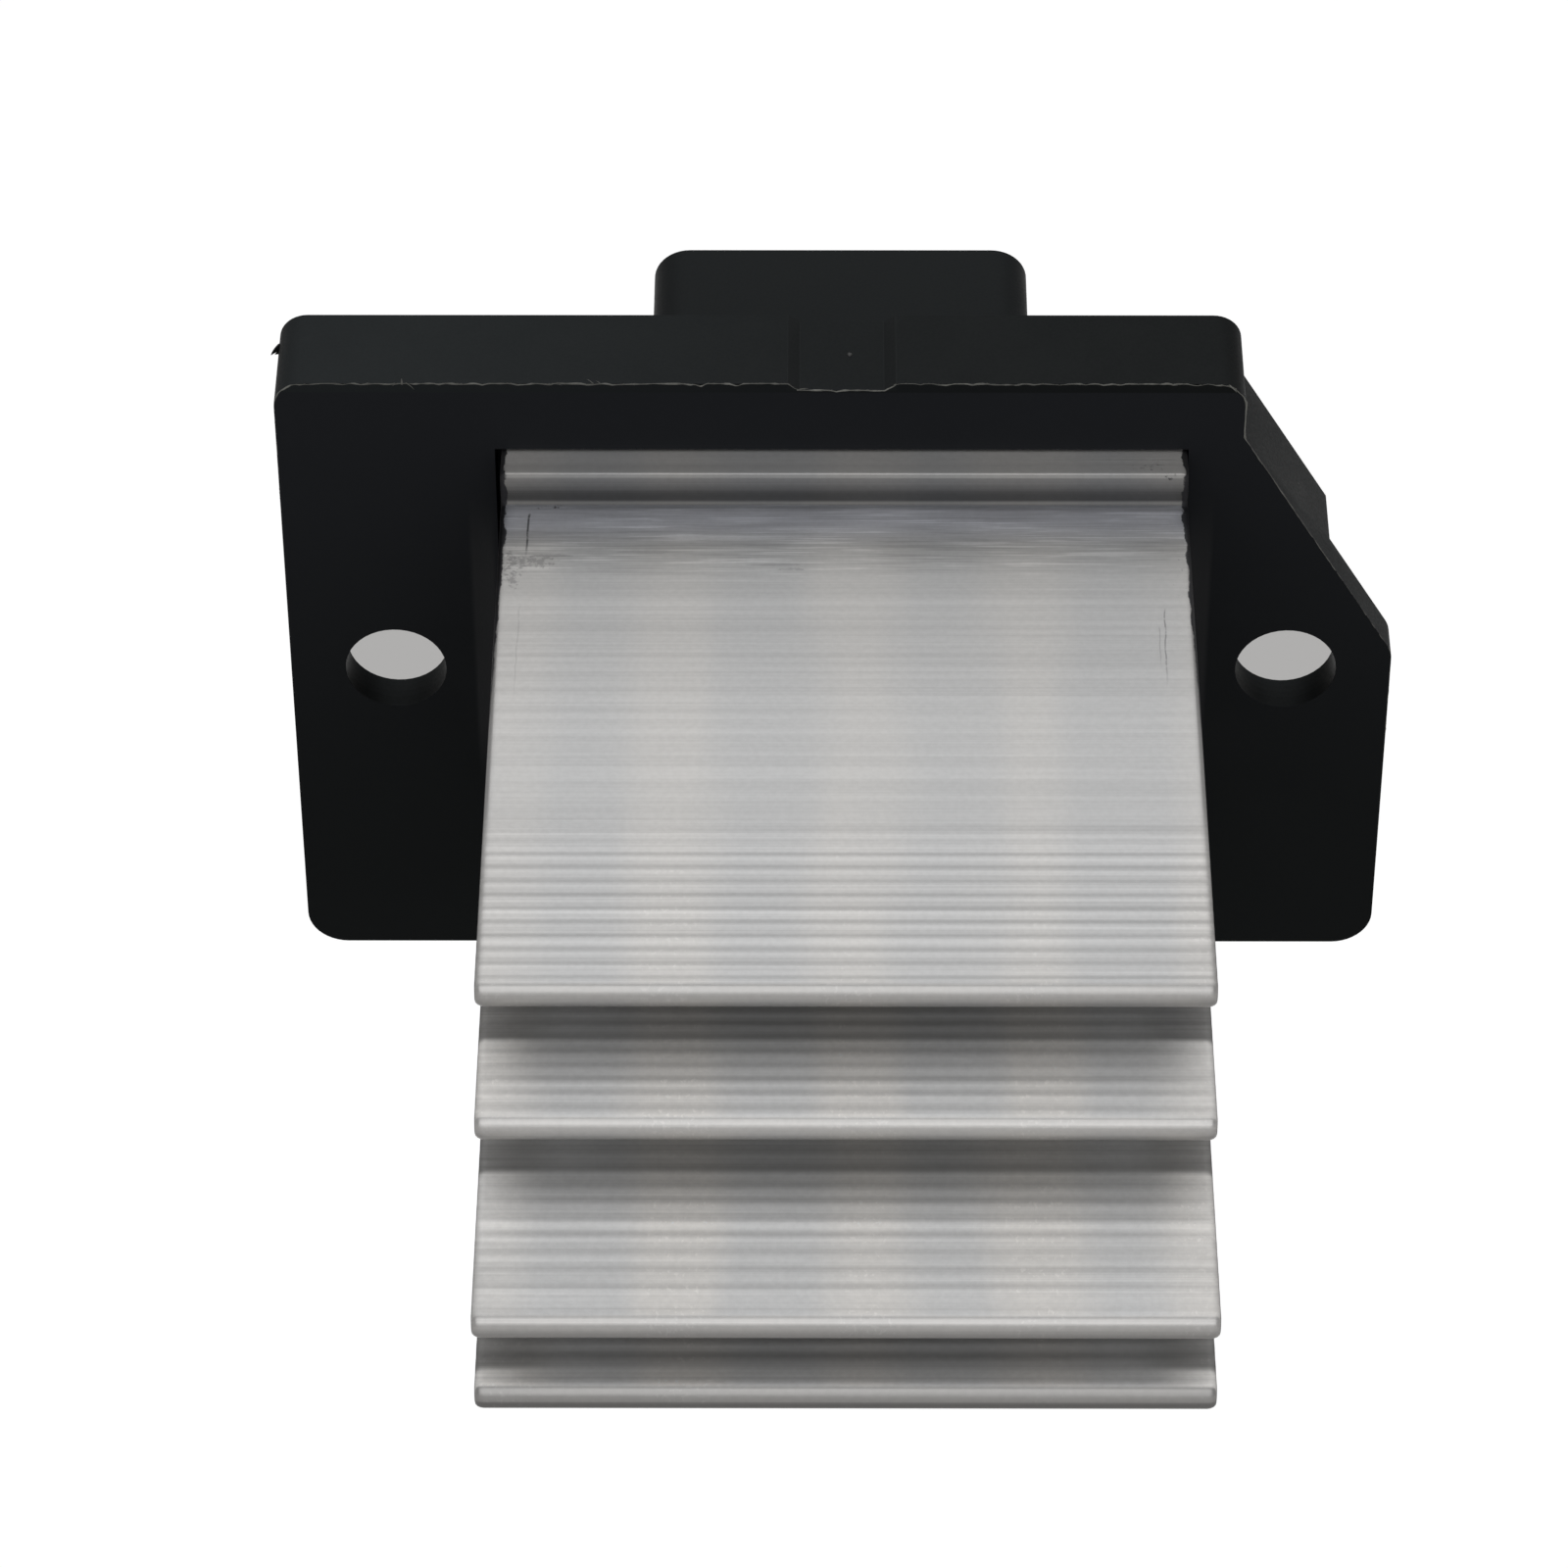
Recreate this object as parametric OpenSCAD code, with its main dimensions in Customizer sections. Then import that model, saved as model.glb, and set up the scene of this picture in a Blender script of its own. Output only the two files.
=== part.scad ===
// Fan speed resistor module: a moulded flange that screws to an air duct, a finned aluminium heat sink
// that stands in the air stream, and the control circuit and plug socket behind it.
// X runs along the flange, -Y is the way the fins point and +Z is up. The origin lies midway between the
// two screw holes, on the flange's front face. All sizes are in millimetres.

/* [Flange] */
// Width of the flange
flange_w = 65.5; // [62:0.5:80]
// Height of the flange
flange_h = 44; // [42:0.5:60]
// Height of the screw holes above the middle of the flange
hole_rise = 0.35; // [0:0.05:2]
// Distance between the two screw holes
hole_spacing = 53; // [51:0.5:56]
// Diameter of a screw hole
hole_d = 6; // [4:0.1:7]
// Thickness of the flange at its rim
rim_t = 6.4; // [4:0.1:8]
// Thickness of the flange's front skin, which is all there is at the screw holes
skin_t = 2.4; // [1.6:0.1:3.5]
// Wall left round the pockets in the flange's back
rim_wall = 1.8; // [1:0.1:3]
// Radius of the relief for a screw head behind each hole
relief_r = 7.3; // [5:0.1:8]
// Radius of the corner where a relief breaks out through the flange's edge
break_r = 0.8; // [0.2:0.1:1.2]
// Radius of the two lower corners
lower_r = 2.4; // [0.5:0.1:4]
// Radius of the two upper corners
upper_r = 1.7; // [0.5:0.1:3]
// Width taken off the upper right corner
cut_w = 9.45; // [6:0.05:10]
// Height of the upright side above the cut corner's slope
cut_drop = 3.95; // [3:0.05:8]
// Lean of the cut corner's slope from upright, in degrees
cut_lean = 30; // [25:1:40]
// Radius where the slope meets the right side
slope_r = 2; // [0.5:0.1:4]

/* [Moulding gate] */
// Width of the gate recess in the top edge
gate_w = 6.2; // [3:0.1:10]
// Depth of the gate recess
gate_depth = 0.48; // [0.2:0.02:1]
// Run of the gate recess's sloped sides
gate_slope = 0.65; // [0.2:0.05:1.2]

/* [Heat sink] */
// Length of the extrusion, along the flange
sink_w = 39.8; // [36:0.1:42]
// Height of the base
base_h = 33.3; // [32:0.1:38]
// Thickness of the base
base_t = 4.6; // [4:0.1:6]
// How far the base stands out of the flange's front face
base_proud = 2.2; // [1:0.1:3]
// Thickness of a fin
fin_t = 1.7; // [1.3:0.05:2.4]
// Distance from fin to fin
fin_pitch = 5.48; // [5:0.02:5.6]
// Length of the top and bottom fins, from the base
outer_fin_l = 40.6; // [30:0.1:60]
// Length of the fins next to them
second_fin_l = 45.2; // [30:0.1:70]
// Length of the two middle fins
middle_fin_l = 54.6; // [30:0.1:80]
// Radius of a fin's tip corners
tip_r = 0.6; // [0.1:0.05:0.6]
// Radius of the fillets at a fin's root
root_r = 0.5; // [0.1:0.05:1]
// Distance from the base to the first rib
rib_start = 27.6; // [10:0.1:29]
// Rib to rib on the outer four fins
rib_pitch = 1.08; // [0.8:0.01:2]
// Rib to rib on the two middle fins
middle_rib_pitch = 1.27; // [0.8:0.01:2]
// Height of a rib
rib_h = 0.12; // [0.05:0.01:0.3]

/* [Box] */
// Clearance at each end of the heat sink's base
sink_gap = 0.2; // [0.1:0.05:0.6]
// Clearance above and below the base
base_gap = 0.15; // [0.1:0.05:0.5]
// Width of the ledge that the base seats on
ledge_w = 1; // [0.6:0.1:1.5]
// Wall of the box beside the base
box_wall = 1.2; // [0.8:0.1:1.8]
// Rear wall of the box
rear_wall = 1.8; // [1.2:0.1:3]
// Radius of the box's corners
box_r = 1.5; // [0.5:0.1:2]
// Distance from a heat sink screw to the cavity's side wall
boss_inset = 2.85; // [2.6:0.05:3]
// Diameter of a screw boss
boss_d = 6.4; // [6.2:0.1:7]
// Diameter of a board post
post_d = 2.4; // [1.6:0.1:3]
// Least height of a board post
post_h = 0.9; // [0.6:0.1:2]
// Width of the low ridge at each side of the opening
ridge_w = 1.3; // [0.6:0.1:2]
// Height of that ridge
ridge_h = 0.5; // [0.2:0.05:1]
// Length of that ridge
ridge_l = 16.6; // [8:0.1:20]
// Height of the ridge's upper end above the screw holes
ridge_top = 12; // [8:0.1:14]
// Length over which each end of the ridge runs out into the flange
ridge_run = 3.5; // [1:0.1:4]

/* [Socket] */
// Width inside the socket
socket_w = 19.6; // [19.2:0.1:22]
// Height inside the socket
socket_h = 11; // [9:0.1:13]
// Wall of the socket
socket_wall = 1.6; // [1:0.1:2]
// Depth of the socket
socket_l = 15.8; // [14:0.1:20]
// Height of the socket's middle above the screw holes
socket_rise = 4.9; // [4.2:0.1:6]
// Outer radius of the socket's corners
socket_r = 2.2; // [1.7:0.1:3]
// Width of the lock lug under the socket
lug_w = 5; // [3:0.1:8]
// Length of the lock lug
lug_l = 3.5; // [2:0.1:5]
// Height of the lock lug
lug_h = 1.2; // [0.6:0.1:2]
// Distance from the lock lug to the socket's mouth
lug_set = 2.5; // [1:0.1:5]

/* [Terminals] */
// Thickness of a blade
blade_t = 0.8; // [0.6:0.05:1]
// Length of a blade in the socket
blade_l = 10.1; // [8:0.1:11]
// Width of a power blade
power_blade_w = 4.8; // [4:0.1:5]
// Width of a signal blade
signal_blade_w = 2.8; // [2.2:0.1:2.9]
// Gap between a power blade and the socket's side
blade_edge = 0.6; // [0.3:0.05:0.8]
// Gap between a power blade and a signal blade
blade_space = 1.1; // [0.8:0.05:1.4]
// Chamfer of a blade's tip
blade_tip = 0.6; // [0.2:0.05:1]
// Width of a tail that goes through the board
tail_w = 1.4; // [1:0.1:2]
// How far a tail stands out of the board
tail_out = 0.8; // [0.4:0.1:1.4]

/* [Circuit board] */
// Thickness of the board
board_t = 1.2; // [0.8:0.1:1.6]
// Clearance round the board
board_gap = 0.5; // [0.3:0.05:1]
// Distance from a post's middle to the board's edges
post_inset = 1.6; // [1.5:0.1:2.5]

/* [Transistor] */
// Thickness of the insulating pad
pad_t = 0.2; // [0.1:0.05:0.5]
// Margin of the pad round the transistor
pad_margin = 0.4; // [0.1:0.05:0.45]
// Width of the transistor
package_w = 10.2; // [9:0.1:12]
// Height of its moulded body
package_h = 9; // [8:0.1:9.4]
// Thickness of its moulded body
package_t = 4.5; // [4:0.1:5]
// Thickness of the tab
tab_t = 1.3; // [1:0.05:1.6]
// Length of the tab beyond the body
tab_l = 6; // [5.6:0.1:6.3]
// Distance from the tab's seat to the leads
lead_rise = 2.4; // [2:0.05:2.8]
// Thickness of a lead
lead_t = 0.5; // [0.4:0.05:0.7]
// Width of a lead
lead_w = 0.8; // [0.6:0.05:1.2]
// Lead to lead
lead_pitch = 2.54; // [2:0.01:3]
// Length of the leads
lead_l = 4; // [3:0.1:4.4]

/* [Screws] */
// Diameter of the screws
screw_d = 3; // [2.5:0.1:3.4]
// Clearance round a screw that passes through
screw_gap = 0.2; // [0.1:0.05:0.3]
// Diameter of a screw's head
head_d = 5.4; // [5:0.1:5.8]
// Height of a screw's head
head_h = 2; // [1.4:0.1:2.2]
// Depth of a screw's cross recess
recess_h = 1; // [0.5:0.1:1.2]
// Length of the cross recess
recess_l = 3.2; // [2:0.1:4]
// Width of the cross recess
recess_w = 0.9; // [0.6:0.1:1.2]
// Depth of a screw in the heat sink's base
screw_grip = 3.4; // [2.5:0.1:3.8]
// Thickness of the insulating bush's flange
bush_t = 0.7; // [0.4:0.05:0.8]
// Wall of the insulating bush's collar
bush_wall = 0.4; // [0.3:0.05:0.5]

/* [Hidden] */
$fn = 48;
over = 1;
arc_steps = 4;
// share of break_r by which a break's round crosses the edges it joins, and share of the relief at which
// its cut begins
break_bite = 0.04 * break_r;
break_start = 0.9;
ridge_root = 0.2;

plastic_black = "#17191a";
aluminium_grey = "#b9babb";
steel_grey = "#8d9094";
tin_grey = "#c2c0ba";
board_green = "#1f5134";
epoxy_black = "#222222";
pad_grey = "#9aa39e";
bush_white = "#d9d5c8";
chip_black = "#2b2b2e";
chip_tan = "#b08a5e";

// flange outline, seen from the front
half_w = flange_w / 2;
flange_top = flange_h / 2 - hole_rise;
flange_bottom = -flange_h / 2 - hole_rise;
cut_x = half_w - cut_w;
cut_z = flange_top - cut_drop;
slope_z = cut_z - cut_w / tan(cut_lean);
outline = [
    [-half_w, flange_bottom], [half_w, flange_bottom], [half_w, slope_z],
    [cut_x, cut_z], [cut_x, flange_top], [-half_w, flange_top]
];
outline_r = [lower_r, lower_r, slope_r, 0, upper_r, upper_r];
hole_x = hole_spacing / 2;

// opening, ledge and box round the heat sink's base
base_front = -base_proud;
base_rear = base_t - base_proud;
open_half_w = sink_w / 2 + sink_gap;
open_half_h = base_h / 2 + base_gap;
cavity_half_w = open_half_w - ledge_w;
cavity_half_h = open_half_h - ledge_w;
box_half_w = open_half_w + box_wall;
box_half_h = open_half_h + box_wall;

// stack behind the base: pad, transistor leads, board, posts, rear wall
seat_y = base_rear + pad_t;
lead_y = seat_y + lead_rise;
board_front = lead_y + lead_t;
board_rear = board_front + board_t;
package_clear = 0.4;
cavity_rear = max(board_rear + post_h, seat_y + package_t + package_clear);
box_rear = cavity_rear + rear_wall;

// transistor, standing on its tab's end at the bottom of the cavity
pad_clear = 0.1;
tab_end = -cavity_half_h + pad_margin + pad_clear;
body_low = tab_end + tab_l;
body_high = body_low + package_h;
tab_hole_z = tab_end + tab_l / 2;
collar_d = screw_d + 2 * bush_wall;

// screws into the heat sink, board between their bosses
sink_screw_x = cavity_half_w - boss_inset;
board_half_w = sink_screw_x - boss_d / 2 - board_gap;
board_low = body_high + board_gap;
board_high = cavity_half_h - board_gap;
board_mid = (board_low + board_high) / 2;

// socket and its blades
socket_end = box_rear + socket_l;
tower_w = socket_w + 2 * socket_wall;
tower_h = socket_h + 2 * socket_wall;
power_x = socket_w / 2 - blade_edge - power_blade_w / 2;
signal_x = power_x - power_blade_w / 2 - blade_space - signal_blade_w / 2;

// rows of small parts on the board, above the blades' tails
parts_low = socket_rise + blade_t / 2 + board_gap;
parts_z = (parts_low + board_high) / 2;
chip_l = 3.2;
chip_w = 1.6;
chip_t = 0.6;
cap_t = 1.1;
chip_end = 0.5;
chip_lap = 0.05;
chip_x = board_half_w - 2 * post_inset - chip_l / 2;
chip_dz = (board_high - parts_low - chip_w) / 6;
amp_w = 4.9;
amp_h = 3.9;
amp_t = 1.4;
amp_lift = 0.2;
amp_pitch = 1.27;
amp_lead_t = 0.2;
amp_lead_w = 0.4;
amp_reach = 1.05;
amp_foot = 0.55;
diode_l = 4.3;
diode_h = 2.6;
diode_t = 2.1;
diode_foot_w = 1.4;
diode_foot_t = 0.4;
diode_foot_l = 1;

// corner of a polygon moved inwards by d along both of its edges
function turn_left(v) = [-v.y, v.x];
function unit(v) = v / norm(v);
function edge_normal(points, i) = turn_left(unit(points[(i + 1) % len(points)] - points[i]));
function inset_corner(points, i, d) =
    let(a = edge_normal(points, (i + len(points) - 1) % len(points)), b = edge_normal(points, i))
    points[i] + (a + b) * d / (1 + a * b);
function inset(points, d) = [for (i = [0 : len(points) - 1]) inset_corner(points, i, d)];

// tangent points and centre of a round of radius r at corner i
function back_dir(points, i) = unit(points[(i + len(points) - 1) % len(points)] - points[i]);
function next_dir(points, i) = unit(points[(i + 1) % len(points)] - points[i]);
function corner_cos(points, i) = back_dir(points, i) * next_dir(points, i);
function tangent_run(points, i, r) =
    r * sqrt((1 + corner_cos(points, i)) / (1 - corner_cos(points, i)));
function round_centre(points, i, r) = inset_corner(points, i, r);

module rounded_outline(points, radii) {
    polygon([
        for (i = [0 : len(points) - 1])
            let(run = tangent_run(points, i, radii[i]))
            each radii[i] > 0
                ? [points[i] + run * back_dir(points, i), points[i] + run * next_dir(points, i)]
                : [points[i]]
    ]);
    for (i = [0 : len(points) - 1])
        if (radii[i] > 0)
            translate(round_centre(points, i, radii[i]))
                circle(r = radii[i]);
}

function rect_points(half_x, half_y, mid_y = 0) = [
    [-half_x, mid_y - half_y], [half_x, mid_y - half_y], [half_x, mid_y + half_y], [-half_x, mid_y + half_y]
];

module rounded_rect(half_x, half_y, mid_y, r) {
    rounded_outline(rect_points(half_x, half_y, mid_y), [r, r, r, r]);
}

// drawing seen from the front, given thickness from y0 back to y1
module slab(y0, y1) {
    translate([0, y1, 0])
        rotate([90, 0, 0])
            linear_extrude(y1 - y0)
                children();
}

// drawing of a side view, with its x along Y, run along X about its middle
module run_along_x(length) {
    translate([-length / 2, 0, 0])
        rotate([90, 0, 90])
            linear_extrude(length)
                children();
}

// round bar along Y
module bar(d, y0, y1) {
    translate([0, y1, 0])
        rotate([90, 0, 0])
            cylinder(d = d, h = y1 - y0);
}

module box_block(x0, x1, y0, y1, z0, z1) {
    translate([x0, y0, z0])
        cube([x1 - x0, y1 - y0, z1 - z0]);
}

module at_screw_holes() {
    for (side = [-1, 1])
        translate([side * hole_x, 0])
            children();
}

module at_sink_screws() {
    for (side = [-1, 1])
        translate([side * sink_screw_x, 0, 0])
            children();
}

// front view of the flange with the gate recess in its top edge
module flange_face() {
    difference() {
        rounded_outline(outline, outline_r);
        polygon([
            [-gate_w / 2, flange_top], [-gate_w / 2 + gate_slope, flange_top - gate_depth],
            [gate_w / 2 - gate_slope, flange_top - gate_depth], [gate_w / 2, flange_top],
            [gate_w / 2, flange_top + over], [-gate_w / 2, flange_top + over]
        ]);
    }
}

// pockets beside the box, with a wall left round each relief; the cut corner stays solid
module pocket_face() {
    difference() {
        polygon(inset(outline, rim_wall));
        square([2 * box_half_w, 2 * flange_h], center = true);
        square([half_w, flange_h]);
        at_screw_holes()
            circle(r = relief_r + rim_wall);
    }
}

module relief_face() {
    difference() {
        at_screw_holes()
            circle(r = relief_r);
        rounded_rect(box_half_w, box_half_h, 0, box_r);
    }
}

// corner at which a relief round c breaks out through the edge at p with inward normal n, and the centre
// of the round there; end picks one of the two corners
function edge_depth(c, p, n) = (c - p) * n;
function break_corner(c, p, n, end) =
    let(deep = edge_depth(c, p, n))
    c - deep * n + end * sqrt(pow(relief_r, 2) - pow(deep, 2)) * turn_left(n);
function break_centre(c, p, n, end) =
    let(rise = break_r - break_bite - edge_depth(c, p, n))
    c + rise * n + end * sqrt(pow(relief_r + break_r - break_bite, 2) - pow(rise, 2)) * turn_left(n);

// what is taken off such a corner to round it
module break_round(c, p, n, end) {
    if (edge_depth(c, p, n) < relief_r) {
        middle = break_centre(c, p, n, end);
        inside = c + (break_corner(c, p, n, end) - c) * break_start;
        difference() {
            polygon([
                inside, inside - edge_depth(inside, p, n) * n - over * n,
                middle - (break_r + over) * n, middle, c + (middle - c) * break_start * relief_r / norm(middle - c)
            ]);
            translate(middle)
                circle(r = break_r);
        }
    }
}

module break_rounds() {
    left = [-hole_x, 0];
    right = [hole_x, 0];
    slope_in = turn_left(unit([cut_x, cut_z] - [half_w, slope_z]));
    for (end = [-1, 1])
        break_round(left, [-half_w, 0], [1, 0], end);
    break_round(right, [half_w, 0], [-1, 0], 1);
    break_round(right, [cut_x, cut_z], slope_in, -1);
}

module flange() {
    difference() {
        slab(0, rim_t)
            flange_face();
        slab(skin_t, rim_t + over) {
            pocket_face();
            relief_face();
            break_rounds();
        }
    }
}

// low wedges that guide the ends of the heat sink's base, running out at both ends; their faces cross the
// flange's front face and go ridge_root times as deep as the wedges stand proud
module ridges() {
    low = ridge_top - ridge_l;
    root = ridge_root * ridge_h;
    steep = ridge_run / ridge_h;
    for (side = [0, 1])
        mirror([side, 0, 0])
            intersection() {
                translate([0, 0, low - over])
                    linear_extrude(ridge_l + 2 * over)
                        polygon([
                            [open_half_w, root], [open_half_w + ridge_w * (1 + ridge_root), root],
                            [open_half_w, -ridge_h]
                        ]);
                translate([open_half_w, 0, 0])
                    run_along_x(4 * ridge_w)
                        polygon([
                            [root, low - root * steep], [-ridge_h - root, low + (ridge_h + root) * steep],
                            [-ridge_h - root, ridge_top - (ridge_h + root) * steep],
                            [root, ridge_top + root * steep]
                        ]);
            }
}

// ramp under the socket that the plug's latch snaps behind
module lock_lug() {
    low = socket_rise - tower_h / 2;
    run_along_x(lug_w)
        polygon([
            [socket_end - lug_set, low + socket_wall / 2], [socket_end - lug_set - lug_l, low + socket_wall / 2],
            [socket_end - lug_set - lug_l, low - lug_h], [socket_end - lug_set, low]
        ]);
}

module board_posts() {
    for (side = [-1, 1], z = [board_low + post_inset, board_high - post_inset])
        translate([side * (board_half_w - post_inset), 0, z])
            bar(post_d, board_rear, cavity_rear + rear_wall / 2);
}

module sink_bosses() {
    at_sink_screws()
        bar(boss_d, base_rear, cavity_rear + rear_wall / 2);
}

module terminal_slots() {
    for (side = [-1, 1]) {
        box_block(side * power_x - power_blade_w / 2, side * power_x + power_blade_w / 2,
            cavity_rear - over, box_rear + over, socket_rise - blade_t / 2, socket_rise + blade_t / 2);
        box_block(side * signal_x - signal_blade_w / 2, side * signal_x + signal_blade_w / 2,
            cavity_rear - over, box_rear + over, socket_rise - blade_t / 2, socket_rise + blade_t / 2);
    }
}

module housing() {
    color(plastic_black)
        difference() {
            union() {
                difference() {
                    union() {
                        flange();
                        ridges();
                        slab(0, box_rear)
                            rounded_rect(box_half_w, box_half_h, 0, box_r);
                        slab(cavity_rear, socket_end)
                            rounded_rect(tower_w / 2, tower_h / 2, socket_rise, socket_r);
                        lock_lug();
                    }
                    slab(-over - ridge_h, base_rear)
                        square([2 * open_half_w, 2 * open_half_h], center = true);
                    slab(0, cavity_rear)
                        square([2 * cavity_half_w, 2 * cavity_half_h], center = true);
                }
                sink_bosses();
                board_posts();
            }
            slab(box_rear, socket_end + over)
                rounded_rect(socket_w / 2, socket_h / 2, socket_rise, socket_r - socket_wall);
            terminal_slots();
            at_screw_holes()
                bar(hole_d, -over, rim_t + over);
            at_sink_screws()
                bar(screw_d + 2 * screw_gap, base_rear - over, box_rear + over);
        }
}

// side view of the extrusion: a rib is a land with sloped flanks on each face of a fin
fin_l = [outer_fin_l, second_fin_l, middle_fin_l, middle_fin_l, second_fin_l, outer_fin_l];
fin_rib = [rib_pitch, rib_pitch, middle_rib_pitch, middle_rib_pitch, rib_pitch, rib_pitch];
fin_count = len(fin_l);
rib_shape = [[0, 0], [0.3, 0.8], [0.5, 1], [0.7, 0.8], [0.98, 0]];

function fin_mid(i) = ((fin_count - 1) / 2 - i) * fin_pitch;
function rib_count(i) = max(0, floor((fin_l[i] - rib_start - tip_r) / fin_rib[i]));
function arc(centre, r, from, to) = [
    for (k = [0 : arc_steps])
        let(a = from + (to - from) * k / arc_steps)
        centre + r * [cos(a), sin(a)]
];

// one face of fin i from its root to its tip, with distance from the base and height over the fin's middle
function fin_face(i) = concat(
    arc([root_r, fin_t / 2 + root_r], root_r, 180, 270),
    [
        for (n = [0 : 1 : rib_count(i) - 1], q = rib_shape)
            [rib_start + (n + q.x) * fin_rib[i], fin_t / 2 + q.y * rib_h]
    ],
    arc([fin_l[i] - tip_r, fin_t / 2 - tip_r], tip_r, 90, 0)
);
function backwards(list) = [for (k = [len(list) - 1 : -1 : 0]) list[k]];
function placed(i, points, flip) = [for (p = points) [base_front - p.x, fin_mid(i) + flip * p.y]];
function fin_outline(i) = concat(placed(i, fin_face(i), 1), placed(i, backwards(fin_face(i)), -1));

module sink_profile() {
    polygon(concat(
        [[base_rear, -base_h / 2], [base_rear, base_h / 2], [base_front, base_h / 2]],
        [for (i = [0 : fin_count - 1]) each fin_outline(i)],
        [[base_front, -base_h / 2]]
    ));
}

module heat_sink() {
    color(aluminium_grey)
        difference() {
            run_along_x(sink_w)
                sink_profile();
            at_sink_screws()
                bar(screw_d, base_rear - screw_grip, base_rear + over);
            translate([0, 0, tab_hole_z])
                bar(screw_d, base_rear - screw_grip, base_rear + over);
        }
}

// pan-head screw along Y with its seat at seat and its tip screw_grip into the base
module pan_screw(seat) {
    difference() {
        union() {
            bar(screw_d, base_rear - screw_grip, seat);
            bar(head_d, seat, seat + head_h);
        }
        slab(seat + head_h - recess_h, seat + head_h + over) {
            square([recess_l, recess_w], center = true);
            square([recess_w, recess_l], center = true);
        }
    }
}

module heat_sink_screws() {
    color(steel_grey)
        at_sink_screws()
            pan_screw(box_rear);
}

// stamped blade with a chamfered tip and a narrow tail through the board
module terminal(x, w) {
    tip = box_rear + blade_l;
    color(tin_grey)
        translate([x, 0, socket_rise - blade_t / 2])
            linear_extrude(blade_t)
                polygon([
                    [-tail_w / 2, board_front - tail_out], [tail_w / 2, board_front - tail_out],
                    [tail_w / 2, cavity_rear], [w / 2, cavity_rear], [w / 2, tip - blade_tip],
                    [w / 2 - blade_tip, tip], [blade_tip - w / 2, tip], [-w / 2, tip - blade_tip],
                    [-w / 2, cavity_rear], [-tail_w / 2, cavity_rear]
                ]);
}

module terminal_motor() {
    terminal(-power_x, power_blade_w);
}

module terminal_ground() {
    terminal(power_x, power_blade_w);
}

module terminal_control() {
    terminal(-signal_x, signal_blade_w);
}

module terminal_sense() {
    terminal(signal_x, signal_blade_w);
}

module circuit_board() {
    color(board_green)
        difference() {
            box_block(-board_half_w, board_half_w, board_front, board_rear, board_low, board_high);
            for (x = [-power_x, -signal_x, signal_x, power_x])
                box_block(x - tail_w / 2, x + tail_w / 2, board_front - over, board_rear + over,
                    socket_rise - blade_t / 2, socket_rise + blade_t / 2);
        }
}

module transistor_body() {
    color(epoxy_black)
        difference() {
            box_block(-package_w / 2, package_w / 2, seat_y, seat_y + package_t, body_low, body_high);
            box_block(-package_w / 2 - over, package_w / 2 + over, seat_y - over, seat_y + tab_t,
                body_low - over, body_high + over);
        }
}

// tab under the body, with three leads that leave the body's top and lie on the board
module transistor_lead_frame() {
    color(tin_grey) {
        difference() {
            box_block(-package_w / 2, package_w / 2, seat_y, seat_y + tab_t, tab_end, body_high);
            translate([0, 0, tab_hole_z])
                bar(collar_d, seat_y - over, seat_y + tab_t + over);
        }
        for (k = [-1, 0, 1])
            box_block(k * lead_pitch - lead_w / 2, k * lead_pitch + lead_w / 2, lead_y, lead_y + lead_t,
                body_high, body_high + lead_l);
    }
}

module thermal_pad() {
    color(pad_grey)
        difference() {
            box_block(-package_w / 2 - pad_margin, package_w / 2 + pad_margin, base_rear, seat_y,
                tab_end - pad_margin, body_high + pad_margin);
            translate([0, 0, tab_hole_z])
                bar(screw_d + 2 * screw_gap, base_rear - over, seat_y + over);
        }
}

// flange on the tab and a collar down through the tab's hole
module insulating_bush() {
    color(bush_white)
        translate([0, 0, tab_hole_z])
            difference() {
                union() {
                    bar(head_d, seat_y + tab_t, seat_y + tab_t + bush_t);
                    bar(collar_d, seat_y, seat_y + tab_t);
                }
                bar(screw_d, seat_y - over, seat_y + tab_t + bush_t + over);
            }
}

module transistor_screw() {
    color(steel_grey)
        translate([0, 0, tab_hole_z])
            pan_screw(seat_y + tab_t + bush_t);
}

module amplifier_body() {
    color(epoxy_black)
        box_block(-amp_w / 2, amp_w / 2, board_front - amp_lift - amp_t, board_front - amp_lift,
            parts_z - amp_h / 2, parts_z + amp_h / 2);
}

// four bent leads at the upper and lower sides, from the body's middle down to the board
module amplifier_leads() {
    mid = amp_lift + amp_t / 2;
    color(tin_grey)
        for (flip = [0, 1], k = [-1.5 : 1.5])
            translate([k * amp_pitch, board_front, parts_z])
                mirror([0, 0, flip])
                    translate([0, 0, amp_h / 2])
                        run_along_x(amp_lead_w)
                            polygon([
                                [-mid - amp_lead_t / 2, 0],
                                [-mid - amp_lead_t / 2, amp_reach - amp_foot],
                                [-amp_lead_t, amp_reach - amp_foot],
                                [-amp_lead_t, amp_reach], [0, amp_reach],
                                [0, amp_reach - amp_foot - amp_lead_t],
                                [-mid + amp_lead_t / 2, amp_reach - amp_foot - amp_lead_t],
                                [-mid + amp_lead_t / 2, 0]
                            ]);
}

// chip on the board with a soldered cap at each end
module chip(x, z, body_t, tone) {
    color(tone)
        translate([x, board_front, z]) {
            box_block(-chip_l / 2 + chip_lap, chip_l / 2 - chip_lap, chip_lap - body_t, 0,
                chip_lap - chip_w / 2, chip_w / 2 - chip_lap);
            for (side = [-1, 1])
                translate([side * (chip_l - chip_end) / 2, 0, 0])
                    box_block(-chip_end / 2, chip_end / 2, -body_t, 0, -chip_w / 2, chip_w / 2);
        }
}

module gate_resistor() {
    chip(-chip_x, parts_z - chip_dz, chip_t, chip_black);
}

module pull_down_resistor() {
    chip(-chip_x, parts_z + chip_dz, chip_t, chip_black);
}

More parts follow.
